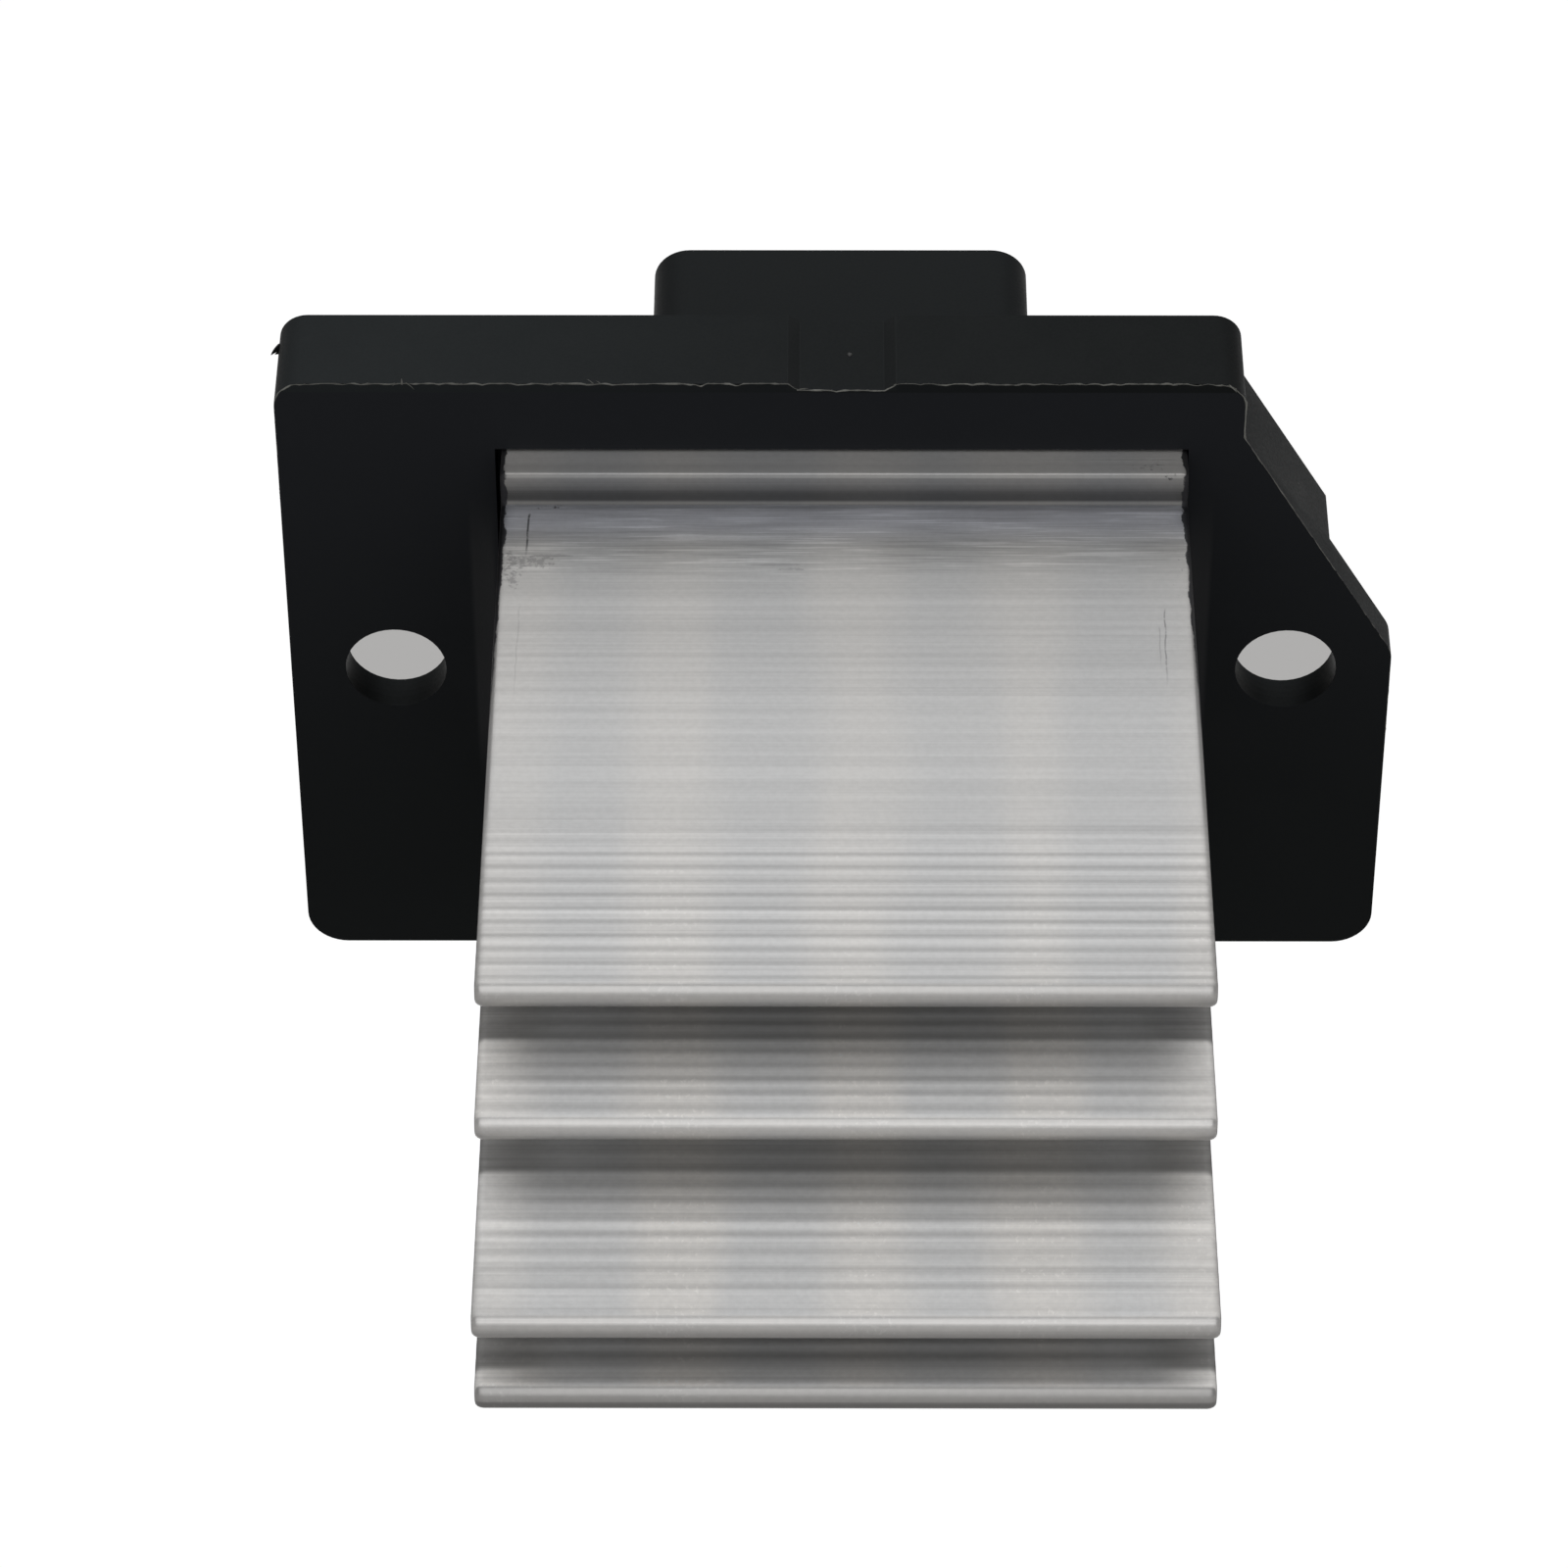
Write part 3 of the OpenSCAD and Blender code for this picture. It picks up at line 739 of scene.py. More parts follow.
@dataclass(frozen=True)
class MillAluminium:
    """Extruded aluminium from the die: die lines along X, soft bands of painted reflection, sawn ends.

    Places are in millimetres. A pair of places says where a zone starts and where it is full, a tone is a
    zone's share of the plain colour and paints light and shade into it, and a pair of lines is how many
    there are in a metre across them and how often they change in a metre along them.
    """

    name: str
    colour: Colour = (0.579, 0.576, 0.573)
    # tints of the bands of painted reflection
    warm: Colour = (1.035, 1.022, 1.002)
    cool: Colour = (0.945, 0.952, 0.958)
    # painted tints of the root and tips, part of their painted light and shade
    root_tint: Colour = (0.94, 0.965, 1.05)
    tip_tint: Colour = (1.012, 1.0, 0.985)
    # colour of the dirt marks and specks, and of the painted shade at the sawn ends
    dirt_and_shade: Colour = (0.035, 0.035, 0.04)

    # places of the zones
    middle_x: float = 0.15
    half_width: float = 19.9
    top_z: float = 14.3
    lip_y: float = -2.35
    lip_z: float = 16.45
    lip_top_y: Pair = (-1.8, -0.1)
    lip_edge_y: Pair = (-1.9, -2.05)
    lip_face_z: Pair = (15.1, 16.35)
    lip_root_z: Pair = (14.9, 14.58)
    fillet_y: float = -2.4
    fillet_z: float = 14.86
    root_y: Pair = (-6.5, -3.5)
    rub_y: Pair = (-10.5, -6.5)
    reach_y: Pair = (-24.0, -13.0)
    rib_y: Pair = (-25.8, -31.8)
    low_tip_z: Pair = (1.0, -1.0)
    end_shade_y: Pair = (-24.0, -3.0)
    gap_shadow_side: Pair = (14.2, 19.7)
    gap_shadow_depth: Pair = (1.25, 2.05)
    deep_depth: Pair = (5.0, 16.0)
    outer_depth: Pair = (-1.5, -6.0)

    # facing of the zones, as parts of the normal
    sawn_x: Pair = (0.75, 0.95)
    front_y: Pair = (-0.3, -0.7)
    under_z: Pair = (0.3, -0.35)

    # tones of the zones: painted light and shade on the fins, lip, tips and gaps
    inner_tone: float = 1.27
    outer_tone: float = 0.87
    reach_tones: Pair = (0.91, 0.74)
    root_tone: float = 1.55
    rib_tone: float = 1.22
    trough_tone: float = 0.94
    tip_tone: float = 0.855
    under_tone: float = 0.58
    low_tip_tone: float = 0.62
    gap_shadow_tone: float = 0.67
    gap_shadow_end_tone: float = 0.6
    gap_shadow_left: float = 0.45
    lip_top_tones: Pair = (0.82, 1.44)
    lip_edge_highlight: float = 0.24
    lip_face_tones: Pair = (0.19, 0.57)
    lip_root_light: float = 0.22
    rub_light: float = 1.32
    rub_dark: float = 0.84
    glint: float = 1.09
    end_shade_width: float = 0.3
    end_shade_share: float = 0.93

    # roughness of the zones
    roughness: float = 0.4
    rib_roughness: float = 0.57
    inner_roughness: float = 0.74
    tip_roughness: float = 0.4
    lip_roughness: float = 0.6
    sawn_more: float = 0.1
    line_change: float = 0.04
    anisotropy: float = 0.1

    # lines, and bands of painted reflection, with the tones at their ends
    die_lines: Pair = (8200.0, 16.0)
    die_tones: Pair = (0.975, 1.02)
    die_root: float = 0.9
    wide_lines: Pair = (2300.0, 9.0)
    wide_tones: Pair = (0.985, 1.01)
    wide_rib_tones: Pair = (0.93, 1.055)
    rub_lines: Pair = (9000.0, 150.0)
    rub_high: Pair = (0.6, 0.95)
    rub_low: Pair = (0.4, 0.08)
    glint_lines: Pair = (2600.0, 3800.0)
    glint_high: Pair = (0.54, 0.7)
    glint_band: Pair = (0.0, 1.2)
    line_depth: float = 0.0022
    line_share: float = 0.8
    band_x: float = 0.8
    band_pitch: float = 9.7
    band_wander: float = 0.6
    band_waves: float = 160.0
    band_stretch: float = 0.2
    band_ends: Pair = (-0.9, 1.2)

    # mottle, ragged painted shade at the sawn ends, and specks
    grain: float = 9000.0
    cloud: float = 90.0
    mottle: float = 2600.0
    mottle_tones: Pair = (0.975, 1.025)
    torn: float = 420.0
    torn_shares: Pair = (0.45, 1.55)
    end_shade_edge: Pair = (-0.08, 0.02)
    speck_cells: float = 700.0
    speck_share: float = 0.01
    speck_size: float = 0.1
    scratches: tuple[Scratch, ...] = (
        Scratch(-18.04, -3.0, -0.02, 4.4, 0.085, 0.8),
        Scratch(-18.35, -11.0, -0.01, 9.0, 0.05, 0.16),
        Scratch(18.34, -11.4, -0.015, 7.4, 0.06, 0.45),
        Scratch(18.0, -13.0, -0.01, 4.0, 0.05, 0.25),
    )
    smudges: tuple[Smudge, ...] = (
        Smudge(-16.5, -2.5, 14.6, 0.5, 0.3, 0.3, 0.8, 0.25),
        Smudge(-17.3, -2.5, 14.6, 0.9, 0.3, 0.14, 0.6, 0.25),
        Smudge(-18.9, -8.2, 14.55, 1.1, 2.6, 0.2, 0.36),
        Smudge(-17.6, -7.5, 14.55, 2.4, 0.75, 0.24, 0.3),
        Smudge(-16.6, -6.9, 14.55, 1.6, 0.16, 0.4, 0.3),
        Smudge(-3.8, -7.7, 14.55, 2.1, 0.13, 0.5, 0.2),
        Smudge(-2.9, -8.1, 14.55, 1.2, 0.2, 0.3, 0.2),
        Smudge(18.9, -2.1, 16.5, 0.8, 0.35, 0.2, 0.75, 0.3),
        Smudge(17.9, -1.4, 16.6, 1.7, 0.5, 0.16, 0.4, 0.3),
        Smudge(19.3, -9.0, 14.55, 0.6, 3.0, 0.1, 0.35),
    )

    def make(self, effects: Effects) -> bpy.types.Material:
        """Build the material."""
        return MillWork(self, effects).build()


@dataclass(frozen=True)
class Zones:
    """Zones of the extrusion, each a socket that is 1 inside its zone and 0 outside."""

    lip: Value
    lip_top: Value
    lip_face: Value
    upper: Value
    inner: Value
    outer: Value
    root: Value
    ribbed: Value
    trough: Value
    tip: Value
    under: Value
    low_tip: Value
    # painted shadow in the gaps, and more of it towards the sawn ends
    gap_shadow: Value
    gap_shadow_end: Value
    sawn: Value


class MillWork:
    """The aluminium's material while it is put together: the places it reads, its zones and its bands."""

    def __init__(self, finish: MillAluminium, effects: Effects) -> None:
        """Start the material and read the place, the facing and the extrusion's own attributes.

        Args:
            finish: The finish.
            effects: Shared node groups.
        """
        self.finish = finish
        self.effects = effects
        self.material, self.sheet, self.shader, self.at = new_material(finish.name)
        sheet = self.sheet
        self.x, self.y, self.z = sheet.apart(self.at)
        self.facing = sheet.apart(sheet.node("ShaderNodeNewGeometry").outputs["Normal"])
        self.ribs = sheet.node("ShaderNodeAttribute", attribute_name="rib").outputs["Fac"]
        self.depth = sheet.node("ShaderNodeAttribute", attribute_name="depth").outputs["Fac"]
        self.across = sheet.plus(self.y, self.z)
        self.side = sheet.calc(Op.ABSOLUTE, sheet.minus(self.x, finish.middle_x * MM))
        self.drawn = self.lines(finish.die_lines)
        self.zones = self.mark_zones()
        # soft bands of painted reflection across X
        self.band = self.paint_reflection_bands()

    def lines(self, counts: Pair) -> bpy.types.bpy_prop_collection:
        """Lay one set of die lines.

        Args:
            counts: Lines per metre, and changes per metre along them.

        Returns:
            The sockets of their height and tone.
        """
        inputs = {"Along": self.x, "Across": self.across, "Lines": counts[0], "Stretch": counts[1]}
        return self.sheet.group(self.effects.drawn, inputs)

    def mark_zones(self) -> Zones:
        """Mark the zones by place, facing and depth.

        Returns:
            The zones.
        """
        finish, sheet = self.finish, self.sheet
        front = sheet.ramp(self.facing[1], *finish.front_y)
        ribbed = sheet.ramp(self.y, *metres(finish.rib_y))
        lip = sheet.calc(Op.GREATER, self.y, finish.lip_y * MM)
        high = sheet.calc(Op.GREATER, self.z, finish.top_z * MM)
        fillet = sheet.times(
            high,
            sheet.calc(Op.GREATER, self.y, finish.fillet_y * MM),
            sheet.calc(Op.LESS, self.z, finish.fillet_z * MM),
        )
        upper = sheet.times(high, sheet.rest(sheet.most(lip, front)))
        inner = sheet.rest(sheet.most(lip, upper))
        tip = sheet.times(front, ribbed)
        # painted shadow in the gaps, from a little behind the tip of the fin above, easing deeper in
        gap_shadow = sheet.times(
            sheet.ramp(self.depth, *finish.gap_shadow_depth),
            sheet.ramp(self.depth, *finish.deep_depth, 1.0, finish.gap_shadow_left),
            inner,
            sheet.rest(tip),
        )
        return Zones(
            lip=lip,
            lip_top=sheet.times(lip, sheet.calc(Op.GREATER, self.z, finish.lip_z * MM)),
            lip_face=sheet.most(sheet.times(lip, front, high), fillet),
            upper=upper,
            inner=inner,
            outer=sheet.times(sheet.ramp(self.depth, *finish.outer_depth), inner),
            root=sheet.times(sheet.ramp(self.y, *metres(finish.root_y)), upper),
            ribbed=ribbed,
            trough=sheet.times(ribbed, upper, sheet.rest(self.ribs)),
            tip=tip,
            under=sheet.times(sheet.ramp(self.facing[2], *finish.under_z), tip),
            low_tip=sheet.times(sheet.ramp(self.z, *metres(finish.low_tip_z)), tip),
            gap_shadow=gap_shadow,
            gap_shadow_end=sheet.times(gap_shadow, sheet.ramp(self.side, *metres(finish.gap_shadow_side))),
            sawn=sheet.ramp(sheet.calc(Op.ABSOLUTE, self.facing[0]), *finish.sawn_x),
        )

    def paint_reflection_bands(self) -> Value:
        """Paint soft reflection bands across X: a cosine of the place, shifted up and down by wide noise.

        Returns:
            The socket of the bands.
        """
        finish, sheet = self.finish, self.sheet
        turn = sheet.times(sheet.minus(self.x, finish.band_x * MM), 2 * math.pi / (finish.band_pitch * MM))
        wide = sheet.place(self.x, sheet.times(self.y, finish.band_stretch), self.z)
        wander = sheet.noise(wide, finish.band_waves)
        wander = sheet.ramp(wander, *NOISE, -finish.band_wander, finish.band_wander)
        return sheet.plus(sheet.calc(Op.COSINE, turn), wander)

    def tint(self) -> Value:
        """Mix the tint: warm and cool bands of painted reflection, and painted tints of the root and tips.

        Returns:
            The socket of the tint.
        """
        finish, sheet = self.finish, self.sheet
        tint = sheet.blend(sheet.ramp(self.band, *finish.band_ends), rgba(finish.cool), rgba(finish.warm))
        tint = sheet.blend(self.zones.root, tint, rgba(finish.root_tint))
        return sheet.blend(self.zones.tip, tint, rgba(finish.tip_tint))

    def streaks(self) -> Value:
        """Multiply fine and wide die lines, rubbed lines near the root, painted rib glints and a mottle.

        Returns:
            The socket of the streaks.
        """
        finish, sheet, zones = self.finish, self.sheet, self.zones
        low, high = finish.die_tones
        fine = sheet.fade(self.drawn["Tone"], sheet.fade(zones.root, low, finish.die_root), high)
        ends = zip(finish.wide_tones, finish.wide_rib_tones)
        ends = [sheet.fade(zones.ribbed, plain, full) for plain, full in ends]
        wide = sheet.fade(self.lines(finish.wide_lines)["Tone"], *ends)
        rubbed = self.lines(finish.rub_lines)["Tone"]
        near = sheet.times(sheet.ramp(self.y, *metres(finish.rub_y)), zones.upper)
        light = sheet.times(sheet.ramp(rubbed, *finish.rub_high), near)
        dark = sheet.times(sheet.ramp(rubbed, *finish.rub_low), near)
        # painted glints: highlights painted on the rib crests where the bands of painted reflection are
        # bright
        across, along = finish.glint_lines
        stretched = sheet.place(sheet.times(self.x, along), sheet.times(self.across, across))
        spark = sheet.ramp(sheet.noise(stretched, 1.0, 1.0), *finish.glint_high)
        spark = sheet.times(spark, zones.ribbed, self.ribs, sheet.ramp(self.band, *finish.glint_band))
        mottle = sheet.noise(self.at, finish.mottle, 3.0, 0.6)
        return sheet.times(
            fine,
            wide,
            sheet.fade(light, 1.0, finish.rub_light),
            sheet.fade(dark, 1.0, finish.rub_dark),
            sheet.fade(spark, 1.0, finish.glint),
            sheet.ramp(mottle, *NOISE, *finish.mottle_tones),
        )

    def tone(self) -> Value:
        """Multiply the streaks by the tone of every zone, which paints light and shade into the colour.

        Returns:
            The socket of the tone.
        """
        finish, sheet, zones = self.finish, self.sheet, self.zones
        # lip top: painted light, paler towards the back, with a painted highlight on its front edge
        lip_top = sheet.plus(
            sheet.ramp(self.y, *metres(finish.lip_top_y), *finish.lip_top_tones),
            sheet.ramp(self.y, *metres(finish.lip_edge_y), 0.0, finish.lip_edge_highlight),
        )
        # lip face: painted shade, darker towards its foot, with painted light again at the root
        lip_face = sheet.plus(
            sheet.ramp(self.z, *metres(finish.lip_face_z), *finish.lip_face_tones),
            sheet.ramp(self.z, *metres(finish.lip_root_z), 0.0, finish.lip_root_light),
        )
        # painted light and shade by zone: paler lower fins and ribs, darker troughs, gaps and tips
        tones = (
            (zones.upper, sheet.ramp(self.y, *metres(finish.reach_y), *finish.reach_tones)),
            (zones.inner, finish.inner_tone),
            (zones.root, finish.root_tone),
            (zones.tip, finish.tip_tone),
            (zones.ribbed, finish.rib_tone),
            (zones.lip_top, lip_top),
            (zones.lip_face, lip_face),
            (zones.trough, finish.trough_tone),
            (zones.gap_shadow, finish.gap_shadow_tone),
            (zones.gap_shadow_end, finish.gap_shadow_end_tone),
            (zones.outer, finish.outer_tone),
            (zones.under, finish.under_tone),
            (zones.low_tip, finish.low_tip_tone),
        )
        return sheet.times(self.streaks(), *(sheet.fade(zone, 1.0, tone) for zone, tone in tones))

    def soil_and_shade(self) -> list[Value]:
        """Find what darkens: painted shade at the sawn ends, dirt marks on the top fin and lip, and specks.

        Returns:
            The sockets of their shares.
        """
        finish, sheet = self.finish, self.sheet
        # painted shade: a ragged dark border at the sawn ends, wider towards the base
        torn = sheet.noise(self.at, finish.torn, 5.0, 0.66)
        torn = sheet.ramp(torn, *NOISE, *(share * finish.end_shade_width * MM for share in finish.torn_shares))
        end = sheet.plus(self.side, sheet.times(torn, sheet.ramp(self.y, *metres(finish.end_shade_y))))
        edge = [(finish.half_width + step) * MM for step in finish.end_shade_edge]
        marks = [mark.mask(sheet, self.effects, self.at) for mark in finish.scratches + finish.smudges]
        high = sheet.calc(Op.GREATER, self.z, finish.top_z * MM)
        specks = {"Cells": finish.speck_cells, "Share": finish.speck_share, "Size": finish.speck_size}
        return [
            sheet.ramp(end, *edge, 0.0, finish.end_shade_share),
            sheet.times(sheet.most(*marks), high),
            sheet.group(self.effects.specks, {"Vector": self.at, **specks})["Mask"],
        ]

    def roughness(self) -> Value:
        """Grade the roughness by zone, then by the die lines and on the sawn ends.

        Returns:
            The socket of the roughness.
        """
        finish, sheet, zones = self.finish, self.sheet, self.zones
        rough = sheet.fade(zones.ribbed, finish.roughness, finish.rib_roughness)
        rough = sheet.fade(sheet.times(zones.inner, zones.ribbed), rough, finish.inner_roughness)
        rough = sheet.fade(zones.tip, rough, finish.tip_roughness)
        rough = sheet.fade(zones.lip, rough, finish.lip_roughness)
        rough = sheet.plus(rough, sheet.fade(self.drawn["Tone"], finish.line_change, -finish.line_change))
        return sheet.plus(rough, sheet.times(zones.sawn, finish.sawn_more))

    def build(self) -> bpy.types.Material:
        """Join colour, roughness and relief to the shader.

        Returns:
            The material.
        """
        finish, sheet = self.finish, self.sheet
        tone = self.tone()
        colour = sheet.blend(1.0, rgba(finish.colour), self.tint(), "MULTIPLY")
        colour = sheet.blend(1.0, colour, sheet.place(tone, tone, tone), "MULTIPLY")
        for share in self.soil_and_shade():
            colour = sheet.blend(share, colour, rgba(finish.dirt_and_shade))
        skin = {"Vector": self.at, "Grain": finish.grain, "Cloud": finish.cloud}
        fine = sheet.times(sheet.group(self.effects.grain, skin)["Height"], 1.0 - finish.line_share)
        height = sheet.plus(sheet.times(self.drawn["Height"], finish.line_share), fine)
        tangent = sheet.node("ShaderNodeTangent", direction_type="UV_MAP", uv_map="lines")
        sheet.feed(
            self.shader,
            {
                "Base Color": colour,
                "Metallic": 1.0,
                "Roughness": self.roughness(),
                "Anisotropic": finish.anisotropy,
                "Tangent": tangent.outputs[0],
                "Normal": relief(sheet, height, finish.line_depth),
            },
        )
        return self.material


@dataclass(frozen=True)
class PlatedMetal:
    """Rolled or headed metal with a plated skin: faint lines along Y and a clouded shine."""

    name: str
    colour: Colour
    cloud_colour: Colour
    roughness: float
    lines: float = 6000.0
    stretch: float = 60.0
    grain: float = 7000.0
    cloud: float = 420.0
    depth: float = 0.0025

    def make(self, effects: Effects) -> bpy.types.Material:
        """Build the material.

        Args:
            effects: Shared node groups.

        Returns:
            The material.
        """
        material, sheet, shader, at = new_material(self.name)
        x, y, z = sheet.apart(at)
        rolled = {"Along": y, "Across": sheet.plus(x, z), "Stretch": self.stretch, "Lines": self.lines}
        drawn = sheet.group(effects.drawn, rolled)
        grain = sheet.group(effects.grain, {"Vector": at, "Grain": self.grain, "Cloud": self.cloud})
        colour = sheet.blend(grain["Tone"], rgba(self.colour), rgba(self.cloud_colour))
        rough = sheet.plus(sheet.fade(grain["Tone"], -0.06, 0.08), self.roughness)
        height = sheet.plus(drawn["Height"], sheet.times(grain["Height"], 0.4))
        sheet.feed(
            shader,
            {
                "Base Color": colour,
                "Metallic": 1.0,
                "Roughness": rough,
                "Normal": relief(sheet, height, self.depth),
            },
        )
        return material


# Sub-assemblies


@dataclass
class HeatSink:
    """Extrusion of a base and six fins, ribbed towards their tips and sawn off at both ends."""

    width: float = 39.8
    middle_x: float = 0.15
    base_height: float = 33.3
    base_front: float = -2.2
    base_rear: float = 2.4
    edge_r: float = 0.27
    fin_thickness: float = 1.7
    fin_pitch: float = 5.48
    fin_lengths: tuple[float, ...] = (40.6, 45.2, 54.6, 54.6, 45.2, 40.6)
    rib_pitches: tuple[float, ...] = (1.08, 1.08, 1.27, 1.27, 1.08, 1.08)
    rib_start: float = 27.6
    rib_height: float = 0.07
    rib_uneven: Pair = (0.65, 1.35)
    rib_end_gap: float = 0.3
    tip_run: float = 0.62
    tip_swell: float = 0.06
    tip_flat: float = 0.01
    root_r: float = 0.25
    end_r: float = 0.32
    end_run: float = 0.5
    hole_r: float = 1.5
    hole_depth: float = 3.4
    hole_over: float = 1.0
    holes: tuple[Pair, ...] = ((-16.3, 0.0), (16.3, 0.0), (0.0, -12.4))
    rib_steps: int = 14
    arc_steps: int = 8
    end_steps: int = 4
    hole_steps: int = 48
    sharp: float = 32.0
    no_fin: float = -60.0
    map_scale: float = 0.01

    def face(self, length: float, pitch: float) -> tuple[np.ndarray, np.ndarray]:
        """Trace one face of a fin from its root to its tip.

        A quarter circle leaves the base, a straight line carries the ribs, and a quarter oval turns the
        tip. The ribs are one wave a pitch, raised so that their troughs lie in the plain face, each of its
        own seeded height. They grow towards the tip, where the face swells by half a wave into the oval.

        Args:
            length: Length of the fin.
            pitch: Distance from rib to rib.

        Returns:
            Distance from the base and height over the fin's middle, and the plain face's normal.
        """
        half = self.fin_thickness / 2
        turn = np.linspace(0.0, math.pi / 2, self.arc_steps + 1)
        cos, sin = np.cos(turn), np.sin(turn)
        root = np.stack([self.root_r * (1 - cos), half + self.root_r * (1 - sin)], axis=1)
        count = int((length - self.rib_start - self.tip_run - self.rib_end_gap) / pitch)
        phase = np.linspace(0.0, count, count * self.rib_steps + 1)
        least, most = self.rib_uneven
        uneven = least + (most - least) * np.random.default_rng(int(length * 10)).random(count + 1)
        wave = (0.5 - 0.5 * np.cos(2 * math.pi * phase)) * (0.5 + 0.5 * phase / count)
        wave *= uneven[phase.astype(int)]
        ribs = np.stack([self.rib_start + phase * pitch, half + self.rib_height * wave], axis=1)
        rise = np.linspace(0.0, 1.0, self.arc_steps + 1)[1:-1]
        end = np.array([length - self.tip_run, half + self.tip_swell])
        swell = np.stack([rise, 0.5 - 0.5 * np.cos(math.pi * rise)], axis=1) * (end - ribs[-1]) + ribs[-1]
        tip = np.stack([end[0] + self.tip_run * sin, self.tip_flat + (end[1] - self.tip_flat) * cos], axis=1)
        flat = np.broadcast_to([0.0, 1.0], (len(ribs) + len(swell), 2))
        round_out = np.stack([sin / self.tip_run, cos / end[1]], axis=1)
        round_out /= np.linalg.norm(round_out, axis=1)[:, None]
        normals = np.concatenate([np.stack([cos, sin], 1), flat, round_out])
        return np.concatenate([root, ribs, swell, tip]), normals

    def fin(self, number: int) -> tuple[np.ndarray, np.ndarray]:
        """Place a fin's outline, out along its upper face and back along its lower one.

        Args:
            number: The fin, counted from the top.

        Returns:
            Points and normals in Y and Z.
        """
        middle = ((len(self.fin_lengths) - 1) / 2 - number) * self.fin_pitch
        points, normals = self.face(self.fin_lengths[number], self.rib_pitches[number])
        outline = np.concatenate([points, points[::-1] * [1, -1]])
        facing = np.concatenate([normals, normals[::-1] * [1, -1]])
        return outline * [-1, 1] + [self.base_front, middle], facing * [-1, 1]

    def corner(self, y: float, z: float, start: float) -> tuple[np.ndarray, np.ndarray]:
        """Round a corner of the base by a quarter circle.

        Args:
            y: Y of the circle's middle.
            z: Z of the circle's middle.
            start: Angle in degrees at which the quarter starts.

        Returns:
            Points and normals in Y and Z.
        """
        angle = np.radians(start + np.linspace(0.0, 90.0, self.arc_steps + 1))
        normals = np.stack([np.cos(angle), np.sin(angle)], axis=1)
        return [y, z] + self.edge_r * normals, normals

    def outline(self) -> tuple[np.ndarray, np.ndarray, list[int]]:
        """Trace the whole side view, counter-clockwise about +X.

        Returns:
            Points and normals in Y and Z, and the number of points in each stretch.
        """
        rear, front = self.base_rear - self.edge_r, self.base_front + self.edge_r
        high = self.base_height / 2 - self.edge_r
        parts = [self.corner(rear, -high, -90), self.corner(rear, high, 0), self.corner(front, high, 90)]
        parts += [self.fin(k) for k in range(len(self.fin_lengths))]
        parts.append(self.corner(front, -high, 180))
        points, normals = (np.concatenate([p[k] for p in parts]) for k in (0, 1))
        return points, normals, [len(p[0]) for p in parts]

    def end_faces(self, counts: list[int]) -> list[list[int]]:
        """Fill one end: a strip of quads across each fin, and one face for the base.

        Args:
            counts: Points in each stretch of the outline.

        Returns:
            Faces that turn counter-clockwise about +X.
        """
        starts = np.concatenate([[0], np.cumsum(counts)])
        faces: list[list[int]] = []
        base = list(range(starts[3]))
        for k in range(3, 3 + len(self.fin_lengths)):
            upper = np.arange(starts[k], starts[k] + counts[k] // 2)
            lower = starts[k + 1] - 1 - np.arange(counts[k] // 2)
            faces += np.stack([upper[:-1], upper[1:], lower[1:], lower[:-1]], axis=1).tolist()
            base += [int(upper[0]), int(lower[0])]
        faces.append(base + list(range(starts[-2], starts[-1])))
        return faces

    def build(self) -> bpy.types.Object:
        """Carry the side view along X, drawing it in at both ends by a quarter oval, and drill the back.

        Returns:
            The extrusion.
        """
        points, normals, counts = self.outline()
        turn = np.linspace(0.0, math.pi / 2, self.end_steps + 1)
        x = self.width / 2 - self.end_run * (1 - np.sin(turn))
        inset = self.end_r * (1 - np.cos(turn))
        x, inset = np.concatenate([-x[::-1], x]) + self.middle_x, np.concatenate([inset[::-1], inset])
        section = points[None] - inset[:, None, None] * normals[None]
        grid = np.concatenate([np.broadcast_to(x[:, None, None], (*section.shape[:2], 1)), section], axis=2)
        rows, columns = grid.shape[:2]
        ends = self.end_faces(counts)
        faces = grid_quads(rows, columns).tolist()
        faces += [[v + (rows - 1) * columns for v in f] for f in ends] + [f[::-1] for f in ends]
        piece = new_object("heat_sink_extrusion", grid.reshape(-1, 3), faces, self.sharp)
        self.map_lines(piece.data, grid, ends)
        self.mark_ribs(piece.data, points, normals, rows)
        self.mark_depth(piece.data, points, rows)
        self.drill(piece)
        return piece

    def mark_ribs(self, mesh: bpy.types.Mesh, points: np.ndarray, normals: np.ndarray, rows: int) -> None:
        """Note how far each point stands over its fin's plain face, as a share of a full rib.

        Args:
            mesh: The extrusion's mesh.
            points: Points of the side view.
            normals: Their normals, which are upright only on the plain faces.
            rows: How many times the side view is repeated along X.
        """
        off = abs((points[:, 1] / self.fin_pitch) % 1.0 - 0.5) * self.fin_pitch - self.fin_thickness / 2
        share = np.where(abs(normals[:, 1]) > 0.999, np.clip(off / self.rib_height, 0.0, 1.0), 1.0)
        mesh.attributes.new("rib", "FLOAT", "POINT").data.foreach_set("value", np.tile(share, rows))

    def mark_depth(self, mesh: bpy.types.Mesh, points: np.ndarray, rows: int) -> None:
        """Note how many millimetres each point lies behind the tip of the fin that faces it.

        The outer faces of the first and the last fin have no such fin, and count as far in front.

        Args:
            mesh: The extrusion's mesh.
            points: Points of the side view.
            rows: How many times the side view is repeated along X.
        """
        last = len(self.fin_lengths) - 1
        place = last / 2 - points[:, 1] / self.fin_pitch
        own = np.clip(np.rint(place), 0, last)
        other = (own + np.where(place < own, -1, 1)).astype(int)
        reach = np.concatenate([self.fin_lengths, [self.no_fin, self.no_fin]])[np.where(other < 0, -1, other)]
        depth = points[:, 0] - self.base_front + reach
        mesh.attributes.new("depth", "FLOAT", "POINT").data.foreach_set("value", np.tile(depth, rows))

